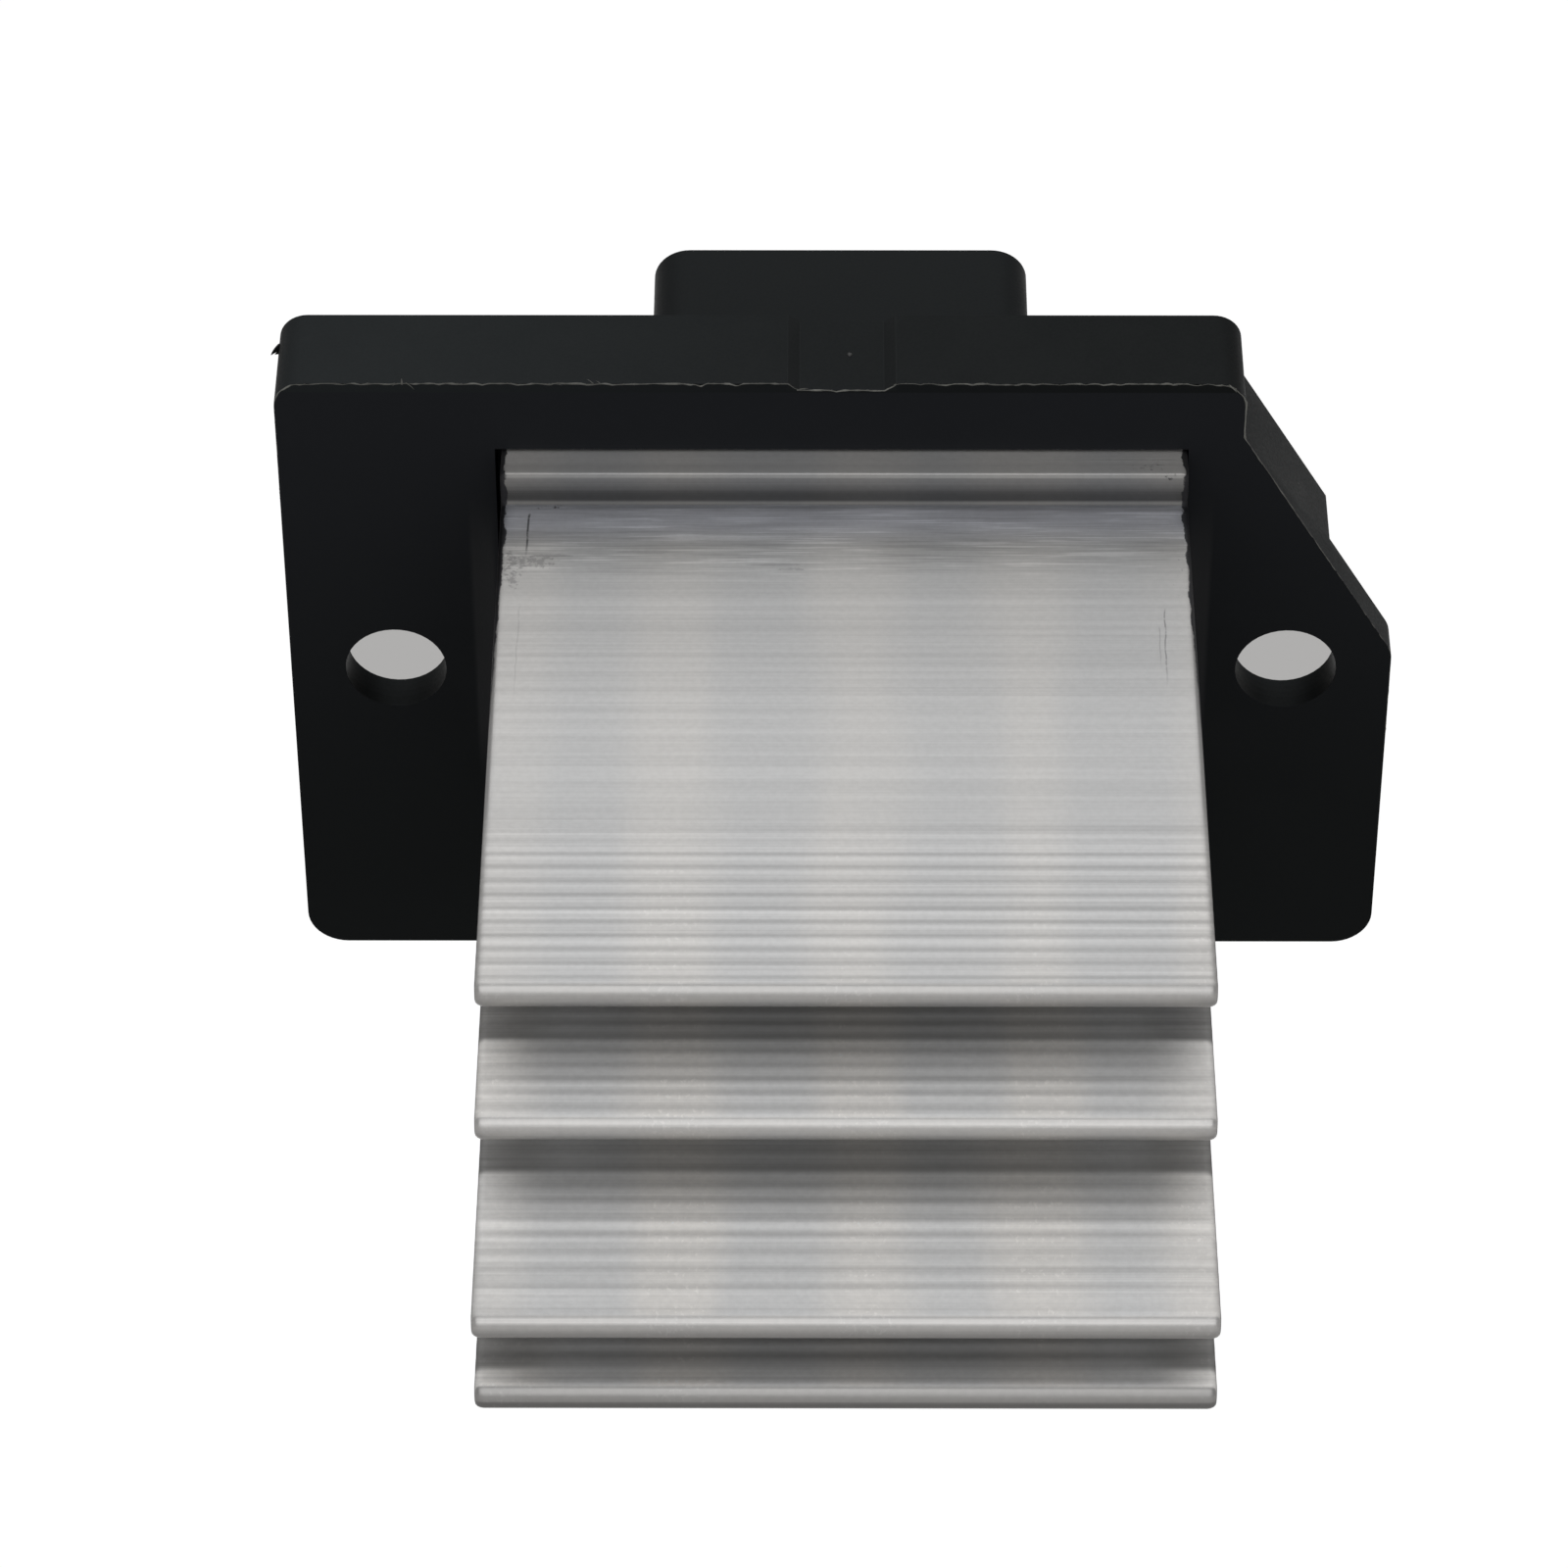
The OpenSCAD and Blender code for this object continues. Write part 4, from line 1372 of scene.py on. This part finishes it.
    def drill(self, piece: bpy.types.Object) -> None:
        """Cut the blind screw holes into the back of the base.

        Args:
            piece: The extrusion.
        """
        angle = np.linspace(0.0, 2 * math.pi, self.hole_steps, endpoint=False)
        ring = self.hole_r * np.stack([np.cos(angle), 0 * angle, -np.sin(angle)], axis=1)
        ends = np.array([self.base_rear - self.hole_depth, self.base_rear + self.hole_over])
        pin = ring[None] + ends[:, None, None] * [0, 1, 0]
        shells = [ring_sweep(pin + [x, 0.0, z]) for x, z in self.holes]
        cutter = new_object("screw_hole_cutter", *joined(shells))
        cut = piece.modifiers.new("holes", "BOOLEAN")
        cut.object, cut.operation, cut.solver = cutter, "DIFFERENCE", "EXACT"
        graph = bpy.context.evaluated_depsgraph_get()
        plain, piece.data = piece.data, bpy.data.meshes.new_from_object(piece.evaluated_get(graph))
        piece.modifiers.clear()
        bpy.data.objects.remove(cutter)
        bpy.data.meshes.remove(plain)
        shade(piece.data, self.sharp)

    def map_lines(self, mesh: bpy.types.Mesh, grid: np.ndarray, ends: list[list[int]]) -> None:
        """Add a map whose first axis crosses the die lines and whose second follows them.

        Args:
            mesh: The extrusion's mesh.
            grid: Its rows of points, one row for each place along X.
            ends: Faces of one end, by numbers in a row.
        """
        rows, columns = grid.shape[:2]
        steps = np.linalg.norm(np.diff(grid[rows // 2], axis=0, append=grid[rows // 2, :1]), axis=1)
        walked = np.concatenate([[0.0], np.cumsum(steps)])
        i, j = np.meshgrid(np.arange(rows - 1), np.arange(columns), indexing="ij")
        across = np.stack([walked[j], walked[j + 1], walked[j + 1], walked[j]], axis=-1).ravel()
        along = grid[:, 0, 0][np.stack([i, i, i + 1, i + 1], axis=-1)].ravel()
        cap = np.concatenate([grid[-1, f, 1:] for f in ends] + [grid[0, f[::-1], 1:] for f in ends])
        places = np.concatenate([np.stack([across, along], 1), cap]) * self.map_scale
        mesh.uv_layers.new(name="lines").uv.foreach_set("vector", places.ravel())

    def dress(self, effects: Effects) -> None:
        """Build the extrusion and give it its finish.

        Args:
            effects: Shared node groups.
        """
        finish_piece(self.build(), MillAluminium("mill_aluminium").make(effects), Slot.ALUMINIUM, "heat_sink")


@dataclass(frozen=True)
class Hair:
    """A loose sliver: where it leaves the plastic, which way and how far it goes, and its radius there."""

    x: float
    z: float
    reach: tuple[float, float, float]
    radius: float
    y: float = 0.0

    def sweep(self) -> Shell:
        """Sweep it, curled and tapering: rings of six points that shrink along a bowed line.

        Returns:
            Points and faces.
        """
        t = np.linspace(-0.12, 1.0, 12)
        reach = np.array(self.reach)
        length = np.linalg.norm(reach)
        ahead = reach / length
        side = np.cross(ahead, [0.3, 0.8, 0.5])
        side /= np.linalg.norm(side)
        bow = np.cross(ahead, side)
        line = [self.x, self.y, self.z] + t[:, None] * reach
        line += (0.22 * length * np.maximum(t, 0) ** 2)[:, None] * bow
        thick = self.radius * (1.02 - np.clip(t, 0, 1)) ** 0.7
        angle = np.linspace(0.0, 2 * math.pi, 6, endpoint=False)
        ring = np.cos(angle)[:, None] * side + 0.5 * np.sin(angle)[:, None] * bow
        return ring_sweep(line[:, None] + thick[:, None, None] * ring[None])


@dataclass
class Housing:
    """Moulded flange with its box and socket, and the flash, gate mark and slivers left by moulding."""

    half_width: float = 32.75
    top: float = 21.65
    cut_x: float = 23.3
    cut_z: float = 17.7
    slope_z: float = 1.332
    upper_r: float = 1.7
    slope_r: float = 2.0
    gate_half: float = 3.1
    gate_depth: float = 0.48
    gate_slope: float = 0.65
    edge: float = 0.14
    sharp: float = 60.0
    flash_height: float = 0.13
    flash_half: float = 0.04
    flash_step: float = 0.05
    flash_ends: Pair = (12.0, -6.0)
    flash_x: tuple[float, ...] = (-32.75, -32.2, 23.2, 23.6, 32.75)
    flash_share: tuple[float, ...] = (0.1, 1.0, 1.0, 0.4, 0.12)
    mark_place: tuple[float, float, float] = (0.46, 3.3, 21.17)
    mark_r: float = 0.14
    mark_h: float = 0.1
    dips: tuple[tuple[float, float, float], ...] = (
        (-16.4, 0.08, 0.3),
        (-8.1, -0.1, 0.25),
        (-6.0, -0.09, 0.3),
        (-4.4, 0.08, 0.9),
        (18.7, 0.1, 0.2),
        (20.4, -0.09, 0.5),
    )
    hairs: tuple[Hair, ...] = (
        Hair(-25.3, 21.65, (0.05, -0.1, 0.55), 0.06),
        Hair(-25.0, 21.65, (0.5, -0.25, -0.14), 0.05),
        Hair(-25.5, 21.65, (-0.34, -0.2, 0.1), 0.045),
        Hair(-16.6, 21.65, (0.55, -0.15, 0.14), 0.055),
        Hair(-14.3, 21.65, (-0.3, -0.1, 0.55), 0.05),
        Hair(-13.9, 21.65, (-0.2, -0.12, 0.42), 0.045),
        Hair(-2.5, 21.2, (0.55, -0.12, 0.36), 0.06),
        Hair(19.9, 21.65, (-0.3, -0.1, 0.2), 0.04),
        Hair(22.3, 21.5, (0.45, -0.25, -0.16), 0.09),
    )
    burrs: tuple[Hair, ...] = (
        Hair(-32.7, 20.2, (-0.58, -0.3, -0.2), 0.34, 5.2),
        Hair(-32.7, 19.9, (-0.3, -0.15, 0.05), 0.25, 5.1),
    )
    # patches of painted light and shade on the black moulding
    painted_light: tuple[PaintedLight, ...] = (
        # front face: painted light and shade, paler at its top and darker towards its bottom
        PaintedLight((-1.0, 40.0), (-1.0, 0.3), (-40.0, 40.0), (0.5, 0.15, 0.5), (0.0144, 0.0151, 0.0178)),
        PaintedLight((-1.0, 40.0), (-1.0, 0.3), (-62.0, 22.0), (0.5, 0.15, 40.0), (0.0072, 0.0078, 0.0081)),
        # top edge: painted sheen, paler at its left and darker at its right
        PaintedLight((-89.0, 23.0), (-0.2, 6.6), (20.95, 22.0), (56.0, 0.1, 0.1), (0.016, 0.0182, 0.0194), False),
        PaintedLight((-33.0, 79.0), (-0.2, 6.6), (20.95, 22.0), (56.0, 0.1, 0.1), (0.0074, 0.0081, 0.0084), False),
        # walls of the screw holes: painted shade, darker towards the front
        PaintedLight((23.3, 29.7), (0.0, 1.9), (-3.1, 3.1), (0.01, 0.1, 0.01), (0.009, 0.0098, 0.0102)),
        PaintedLight((23.3, 29.7), (0.0, 1.4), (-3.1, 3.1), (0.01, 0.1, 0.01), (0.0065, 0.007, 0.0074)),
        PaintedLight((23.3, 29.7), (0.0, 0.9), (-3.1, 3.1), (0.01, 0.1, 0.01), (0.004, 0.0044, 0.0046)),
        # strips beside the heat sink: painted reflection of the bright fins, paler than the plate
        PaintedLight((20.2, 21.9), (-1.0, 0.3), (-10.0, 14.0), (0.35, 0.1, 7.0), (0.026, 0.026, 0.0275)),
        # walls of the gate recess: painted light, a tone of their own that sets the sloped walls apart
        PaintedLight((2.38, 3.18), (-0.5, 6.6), (21.12, 21.72), (0.03, 0.05, 0.03), (0.0122, 0.0134, 0.0139)),
    )

    def front_edge(self) -> tuple[np.ndarray, np.ndarray]:
        """Walk the flange's front edge from its left side over the top to the right side.

        Straight stretches join quarter or part circles at the rounded corners, all cut to one step.

        Returns:
            Points in X and Z, and the distance walked at each.
        """
        turn = np.linspace(0.0, 1.0, 9)[:, None]
        left = np.array([-self.half_width + self.upper_r, self.top - self.upper_r])
        right = np.array([self.cut_x - self.upper_r, self.top - self.upper_r])
        arc = turn * math.pi / 2
        upper_left = left + self.upper_r * np.concatenate([-np.cos(arc), np.sin(arc)], axis=1)
        upper_right = right + self.upper_r * np.concatenate([np.sin(arc), np.cos(arc)], axis=1)
        foot, lip = self.gate_half - self.gate_slope, self.top - self.gate_depth
        gate = np.array([[-self.gate_half, self.top], [-foot, lip], [foot, lip], [self.gate_half, self.top]])
        slope = np.array([self.half_width - self.cut_x, self.slope_z - self.cut_z])
        slope /= np.linalg.norm(slope)
        lean = math.atan2(slope[1], slope[0])
        run = self.slope_r * math.tan((lean + math.pi / 2) / 2)
        knee = np.array([self.half_width - self.slope_r, self.slope_z - run])
        bend = lean + math.pi / 2 - turn * (lean + math.pi / 2)
        lower = knee + self.slope_r * np.concatenate([np.cos(bend), np.sin(bend)], axis=1)
        path = np.concatenate(
            [
                [[-self.half_width, self.flash_ends[0]]],
                upper_left,
                gate,
                upper_right,
                [[self.cut_x, self.cut_z]],
                lower,
                [[self.half_width, self.flash_ends[1]]],
            ]
        )
        walked = np.concatenate([[0.0], np.cumsum(np.linalg.norm(np.diff(path, axis=0), axis=1))])
        at = np.arange(0.0, walked[-1], self.flash_step)
        return np.stack([np.interp(at, walked, path[:, k]) for k in (0, 1)], axis=1), at

    def flash(self) -> Shell:
        """Sweep a thin ragged lip along the front edge.

        The section is a small diamond that points up and forwards; its height is seeded noise, full along
        the top and lower on the slope and the sides. Its line sways a little and has a few deep dips.

        Returns:
            Points and faces of the lip.
        """
        path, at = self.front_edge()
        along = np.gradient(path, axis=0)
        along /= np.linalg.norm(along, axis=1)[:, None]
        across = np.stack([-along[:, 1], 0 * at, along[:, 0]], axis=1)
        out = 0.8 * across + np.array([0.0, -0.6, 0.0])
        side = np.cross(np.stack([along[:, 0], 0 * at, along[:, 1]], axis=1), out)
        strength = np.interp(path[:, 0], self.flash_x, self.flash_share)
        height = 0.2 + 0.9 * ragged(at, 0.6, 3) ** 2 + 1.6 * ragged(at, 0.11, 4) ** 6
        height *= self.flash_height * strength
        width = self.flash_half * (0.35 + 1.1 * ragged(at, 0.35, 5)) * (0.4 + 0.6 * strength)
        dips = sum(depth * np.exp(-(((path[:, 0] - x) / wide) ** 2)) for x, depth, wide in self.dips)
        sway = dips + 0.1 * strength * (ragged(at, 0.5, 6) - 0.6)
        centre = np.stack([path[:, 0], -0.7 * abs(sway), path[:, 1] + sway], axis=1) - out * 0.03
        rings = np.stack(
            [
                centre + out * (height + 0.02)[:, None],
                centre + side * width[:, None],
                centre - out * 0.05,
                centre - side * width[:, None],
            ],
            axis=1,
        )
        return ring_sweep(rings)

    def build_flash(self) -> bpy.types.Object:
        """Join the ragged lip and its loose slivers to one piece."""
        shells = [self.flash()] + [hair.sweep() for hair in self.hairs]
        return new_object("flash_line", *joined(shells), self.sharp)

    def build_burr(self) -> bpy.types.Object:
        """Sweep the torn sliver on the flange's left side."""
        return new_object("side_burr", *joined([burr.sweep() for burr in self.burrs]), self.sharp)

    def build_gate_mark(self) -> bpy.types.Object:
        """Turn the sheared gate stub: a low rough button whose height falls off towards its rim.

        Returns:
            The button.
        """
        reach = np.linspace(1.0, 0.0, 7)
        angle = np.linspace(0.0, 2 * math.pi, 20, endpoint=False)
        rough = 1 + 0.16 * np.sin(3 * angle + 0.4) + 0.1 * np.sin(7 * angle)
        radius = self.mark_r * np.maximum(reach, 0.04)[:, None] * rough[None]
        height = 1 + 0.25 * np.sin(2 * angle + 5 * reach[:, None])
        height *= self.mark_h * (1 - reach[:, None] ** 4)
        height[0] = -self.mark_h / 2
        rings = np.stack([radius * np.cos(angle), radius * np.sin(angle), height], axis=2)
        return new_object("gate_mark", *ring_sweep(rings + self.mark_place), self.sharp)

    def dress(self, effects: Effects) -> None:
        """Build the housing's pieces and give them their finishes.

        Args:
            effects: Shared node groups.
        """
        black = Moulding(
            "black_moulding",
            (0.0098, 0.0109, 0.0116),
            (0.0114, 0.0126, 0.0134),
            0.47,
            0.075,
            dust=0.03,
            shine=(0.84, 0.98, 1.0),
            painted_light=self.painted_light,
        ).make(effects)
        torn = Moulding(
            "torn_plastic", (0.13, 0.13, 0.12), (0.24, 0.24, 0.22), 0.62, 0.3, grain=0.08, relief=0.006
        ).make(effects)
        sheared = Moulding(
            "sheared_plastic", (0.06, 0.061, 0.061), (0.1, 0.1, 0.098), 0.6, 0.2, grain=0.06, relief=0.006
        ).make(effects)
        finish_piece(merged_copy("housing", "housing_moulding", self.edge, 3), black, Slot.PLASTIC, "housing")
        finish_piece(self.build_flash(), torn, Slot.PLASTIC)
        finish_piece(self.build_burr(), black, Slot.PLASTIC)
        finish_piece(self.build_gate_mark(), sheared, Slot.PLASTIC)


@dataclass
class SinkScrews:
    """Two pan-head screws that hold the heat sink to the box from behind."""

    x: float = 16.3
    z: float = 0.0
    tip: float = -1.0
    seat: float = 9.4
    shank_r: float = 1.5
    core_r: float = 1.22
    pitch: float = 0.5
    head_r: float = 2.7
    head_h: float = 2.0
    wall_h: float = 0.9
    recess_half: float = 1.6
    recess_width: float = 0.9
    recess_depth: float = 1.0
    recess_wall: float = 0.14
    thread_in: float = 0.6
    thread_out: float = 0.3
    thread_gap: float = 0.5
    foot_edge: float = 0.06
    wall_gap: float = 0.15
    around: int = 96
    shank_steps: int = 210
    dome_steps: int = 44
    dome_power: float = 2.6
    point_run: float = 0.5
    point_cut: float = 0.2
    sharp: float = 35.0

    def recess(self, x: np.ndarray, z: np.ndarray) -> np.ndarray:
        """Depth of the cross recess: two crossed slots that run out towards their ends, with steep walls.

        Args:
            x: Places across the head.
            z: Places up the head.

        Returns:
            Depth below the dome.
        """
        far, near = np.maximum(abs(x), abs(z)), np.minimum(abs(x), abs(z))
        wall = 1 - smooth_step((near - self.recess_width / 2) / self.recess_wall + 0.5)
        run = np.sqrt(np.clip(1 - (far / self.recess_half) ** 3, 0, 1))
        return self.recess_depth * wall * run

    def screw(self, x: float) -> Shell:
        """Turn one screw: radius and place along Y for each step of its profile and each angle.

        The shank's radius swings between core and crest with the turns of the thread; the head is a short
        wall under a flattened dome, from which the cross recess is taken.

        Args:
            x: X of its axis.

        Returns:
            Points and faces.
        """
        angle = np.linspace(0.0, 2 * math.pi, self.around, endpoint=False)[None]
        shank_y = np.linspace(self.tip, self.seat, self.shank_steps)[:, None]
        wave = abs(((shank_y / self.pitch + angle / (2 * math.pi)) % 1.0) * 2 - 1)
        taper = smooth_step((shank_y - self.tip) / self.thread_in)
        taper *= smooth_step((self.seat - self.thread_gap - shank_y) / self.thread_out)
        point = self.point_cut * (1 - smooth_step((shank_y - self.tip) / self.point_run))
        shank = self.core_r - point + (self.shank_r - self.core_r) * wave * taper
        share = np.linspace(1.0, 0.02, self.dome_steps)[:, None]
        dome_r = self.head_r * share + 0 * angle
        rise = np.sqrt(np.clip(1 - share**self.dome_power, 0, 1))
        dome_h = self.wall_h + (self.head_h - self.wall_h) * rise
        dome_y = self.seat + dome_h - self.recess(dome_r * np.cos(angle), dome_r * np.sin(angle))
        wall_r = np.array([self.head_r - self.foot_edge, self.head_r, self.head_r])[:, None] + 0 * angle
        wall_h = np.array([0.0, self.foot_edge, self.wall_h - self.wall_gap])[:, None] + 0 * angle
        radius = np.concatenate([shank, wall_r, dome_r])
        along = np.concatenate([shank_y + 0 * angle, self.seat + wall_h, dome_y])
        rings = [x + radius * np.cos(angle), along, self.z - radius * np.sin(angle)]
        return ring_sweep(np.stack(rings, axis=2))

    def dress(self, effects: Effects) -> None:
        """Build both screws and give them their finish.

        Args:
            effects: Shared node groups.
        """
        zinc = PlatedMetal("zinc_plate", (0.52, 0.53, 0.55), (0.62, 0.61, 0.58), 0.34).make(effects)
        shells = [self.screw(-self.x), self.screw(self.x)]
        piece = new_object("heat_sink_screw_pair", *joined(shells), self.sharp)
        finish_piece(piece, zinc, Slot.STEEL, "heat_sink_screws")


@dataclass
class Terminals:
    """Four stamped blades in the socket, with coined edges."""

    nodes: tuple[str, ...] = ("terminal_motor", "terminal_ground", "terminal_control", "terminal_sense")
    edge: float = 0.12

    def dress(self, effects: Effects) -> None:
        """Round the blades' edges and give them their finish.

        Args:
            effects: Shared node groups.
        """
        tin = PlatedMetal("tin_plate", (0.66, 0.64, 0.6), (0.74, 0.72, 0.69), 0.3).make(effects)
        for node in self.nodes:
            finish_piece(merged_copy(node, f"{node}_blade", self.edge, 3), tin, Slot.BRASS, node)


@dataclass
class Circuit:
    """Board, transistor and small parts, closed inside the box."""

    tinned: tuple[str, ...] = ("transistor_lead_frame", "amplifier_leads")
    screws: tuple[str, ...] = ("transistor_screw",)
    boards: tuple[str, ...] = ("circuit_board",)
    pads: tuple[str, ...] = ("thermal_pad",)
    bushes: tuple[str, ...] = ("insulating_bush",)
    bodies: tuple[str, ...] = ("transistor_body", "amplifier_body", "clamp_diode")
    resistors: tuple[str, ...] = ("gate_resistor", "pull_down_resistor", "feedback_resistor")
    capacitors: tuple[str, ...] = ("filter_capacitor", "bypass_capacitor")

    def dress(self, effects: Effects) -> None:
        """Give every inner piece its finish.

        Args:
            effects: Shared node groups.
        """
        finishes = (
            Moulding("board_varnish", (0.012, 0.085, 0.035), (0.016, 0.11, 0.045), 0.3, 0.5, 0.5),
            Moulding("moulded_epoxy", (0.014, 0.014, 0.015), (0.02, 0.02, 0.021), 0.55, 0.4, 0.1),
            Moulding("grey_silicone", (0.3, 0.34, 0.32), (0.36, 0.4, 0.38), 0.7, 0.3, 0.3),
            Moulding("white_nylon", (0.66, 0.63, 0.55), (0.74, 0.71, 0.63), 0.45, 0.4, 0.2),
            Moulding("resistor_glaze", (0.02, 0.02, 0.022), (0.03, 0.03, 0.032), 0.3, 0.5, 0.2),
            Moulding("capacitor_clay", (0.42, 0.26, 0.12), (0.5, 0.32, 0.16), 0.5, 0.4, 0.15),
            PlatedMetal("lead_tin", (0.62, 0.61, 0.58), (0.7, 0.69, 0.66), 0.36),
            PlatedMetal("screw_zinc", (0.5, 0.51, 0.53), (0.6, 0.59, 0.56), 0.36),
        )
        groups = (self.boards, self.bodies, self.pads, self.bushes)
        groups += (self.resistors, self.capacitors, self.tinned, self.screws)
        for finish, nodes in zip(finishes, groups):
            material = finish.make(effects)
            for node in nodes:
                dress_node(node, material)


# Studio


@dataclass(frozen=True)
class SoftBox:
    """A rectangular soft light: where it hangs, its edge lengths and its brightness, turned to the part."""

    name: str
    place: tuple[float, float, float]
    size: Pair
    radiance: float

    def build(self) -> None:
        """Hang the light so that it faces the origin."""
        lamp = bpy.data.lights.new(self.name, "AREA")
        lamp.shape, lamp.size, lamp.size_y = "RECTANGLE", *self.size
        lamp.energy = self.radiance * math.pi * self.size[0] * self.size[1]
        box = bpy.data.objects.new(self.name, lamp)
        bpy.context.scene.collection.objects.link(box)
        box.location = self.place
        box.rotation_euler = Vector(self.place).to_track_quat("Z", "Y").to_euler()


@dataclass
class Studio:
    """Graded paper under the part, soft light round it and a long lens in front of it."""

    position: tuple[float, float, float] = (-1.458, -301.404, 262.106)
    turn: float = 0.37
    rise: float = 42.0
    roll: float = -0.19
    focal_pixels: float = 6836.6
    image_pixels: float = 1600.0
    sensor: float = 36.0
    clip: Pair = (0.01, 20.0)
    floor_z: float = -220.0
    floor_half: float = 2500.0
    floor_steps: int = 9
    white_near: Pair = (-20.0, 105.0)
    white_far: Pair = (560.0, 420.0)
    white_side: Pair = (200.0, 110.0)
    # strip of painted shadow on the paper behind the part
    grey_x: float = 1.0
    grey_near: Pair = (243.0, 248.0)
    grey_far: Pair = (267.0, 262.0)
    grey_side: Pair = (58.5, 55.5)
    sky: float = 0.3
    paper_light: Colour = (0.95, 0.95, 0.95)
    paper_dark: Colour = (0.4, 0.395, 0.39)
    paper_glow: float = 0.4
    paper_roughness: float = 0.9
    lights: tuple[SoftBox, ...] = (
        SoftBox("back_box", (0.0, 0.4, 1.0), (1.6, 1.5), 0.95),
        SoftBox("front_box", (0.0, -1.0, 0.45), (1.6, 1.1), 0.7),
    )

    def build_camera(self) -> None:
        """Stand the camera where the picture was taken from, its axes turned by the three angles."""
        turn, rise, roll = (math.radians(a) for a in (self.turn, self.rise, self.roll))
        back = np.array([math.sin(turn) * math.cos(rise), -math.cos(turn) * math.cos(rise), math.sin(rise)])
        right = np.array([math.cos(turn), math.sin(turn), 0.0])
        up = np.cross(back, right)
        cos, sin = math.cos(roll), math.sin(roll)
        axes = [cos * right + sin * up, cos * up - sin * right, back]
        lens = bpy.data.cameras.new("long_lens")
        lens.sensor_width = self.sensor
        lens.lens = self.sensor * self.focal_pixels / self.image_pixels
        lens.clip_start, lens.clip_end = self.clip
        camera = bpy.data.objects.new("long_lens", lens)
        bpy.context.scene.collection.objects.link(camera)
        place = Matrix.Identity(4)
        for column, axis in enumerate([*axes, np.array(self.position) * MM]):
            for row in range(3):
                place[row][column] = axis[row]
        camera.matrix_world = place
        bpy.context.scene.camera = camera

    def build_floor(self) -> None:
        """Lay the paper: a level grid, pale grey but for a white patch where the lens looks past the part.

        A short strip of the patch, seen only through the screw holes, is grey again:
        a painted shadow of the part.
        """
        reach = np.linspace(-self.floor_half, self.floor_half, self.floor_steps)
        x, y = np.meshgrid(reach, reach)
        points = np.stack([x, y, np.full_like(x, self.floor_z)], axis=-1).reshape(-1, 3)
        faces = grid_quads(self.floor_steps, self.floor_steps, wrap=False).tolist()
        floor = new_object("paper_floor", points, faces)
        material, sheet, shader, at = new_material("graded_paper")
        across, along, _ = sheet.apart(at)
        middle = sheet.minus(across, self.grey_x * MM)
        patches = []
        for value, near, far, side in (
            (across, self.white_near, self.white_far, self.white_side),
            (middle, self.grey_near, self.grey_far, self.grey_side),
        ):
            aside = sheet.ramp(sheet.calc(Op.ABSOLUTE, value), *metres(side))
            ends = [sheet.ramp(along, *metres(end)) for end in (near, far)]
            patches.append(sheet.times(*ends, aside))
        # the white patch, less the strip of painted shadow behind the part
        white = sheet.times(patches[0], sheet.rest(patches[1]))
        colour = sheet.blend(white, rgba(self.paper_dark), rgba(self.paper_light))
        seen = sheet.node("ShaderNodeLightPath").outputs
        sight = sheet.most(seen["Is Camera Ray"], seen["Is Glossy Ray"], seen["Is Transmission Ray"])
        glow = sheet.blend(sight, rgba((0.0, 0.0, 0.0)), colour)
        sheet.feed(
            shader,
            {
                "Base Color": colour,
                "Roughness": self.paper_roughness,
                "Specular IOR Level": 0.0,
                "Emission Color": glow,
                "Emission Strength": self.paper_glow,
            },
        )
        floor.data.materials.append(material)

    def build_light(self) -> None:
        """Fill the room with an even pale sky and hang the soft boxes."""
        world = bpy.data.worlds.new("pale_room")
        world.use_nodes = True
        back = world.node_tree.nodes["Background"]
        back.inputs["Color"].default_value = (1.0, 1.0, 1.0, 1.0)
        back.inputs["Strength"].default_value = self.sky
        bpy.context.scene.world = world
        for light in self.lights:
            light.build()

    def build(self) -> None:
        """Set up camera, floor, light and plain colour handling."""
        self.build_camera()
        self.build_floor()
        self.build_light()
        bpy.context.scene.view_settings.view_transform = "Standard"


def main() -> None:
    """Build the sub-assemblies in order."""
    logging.basicConfig(level=logging.INFO, format="%(message)s")
    Studio().build()
    effects = Effects()
    for part in (Housing(), HeatSink(), SinkScrews(), Terminals(), Circuit()):
        part.dress(effects)
        LOG.info("%s done", type(part).__name__)


if __name__ == "__main__":
    main()
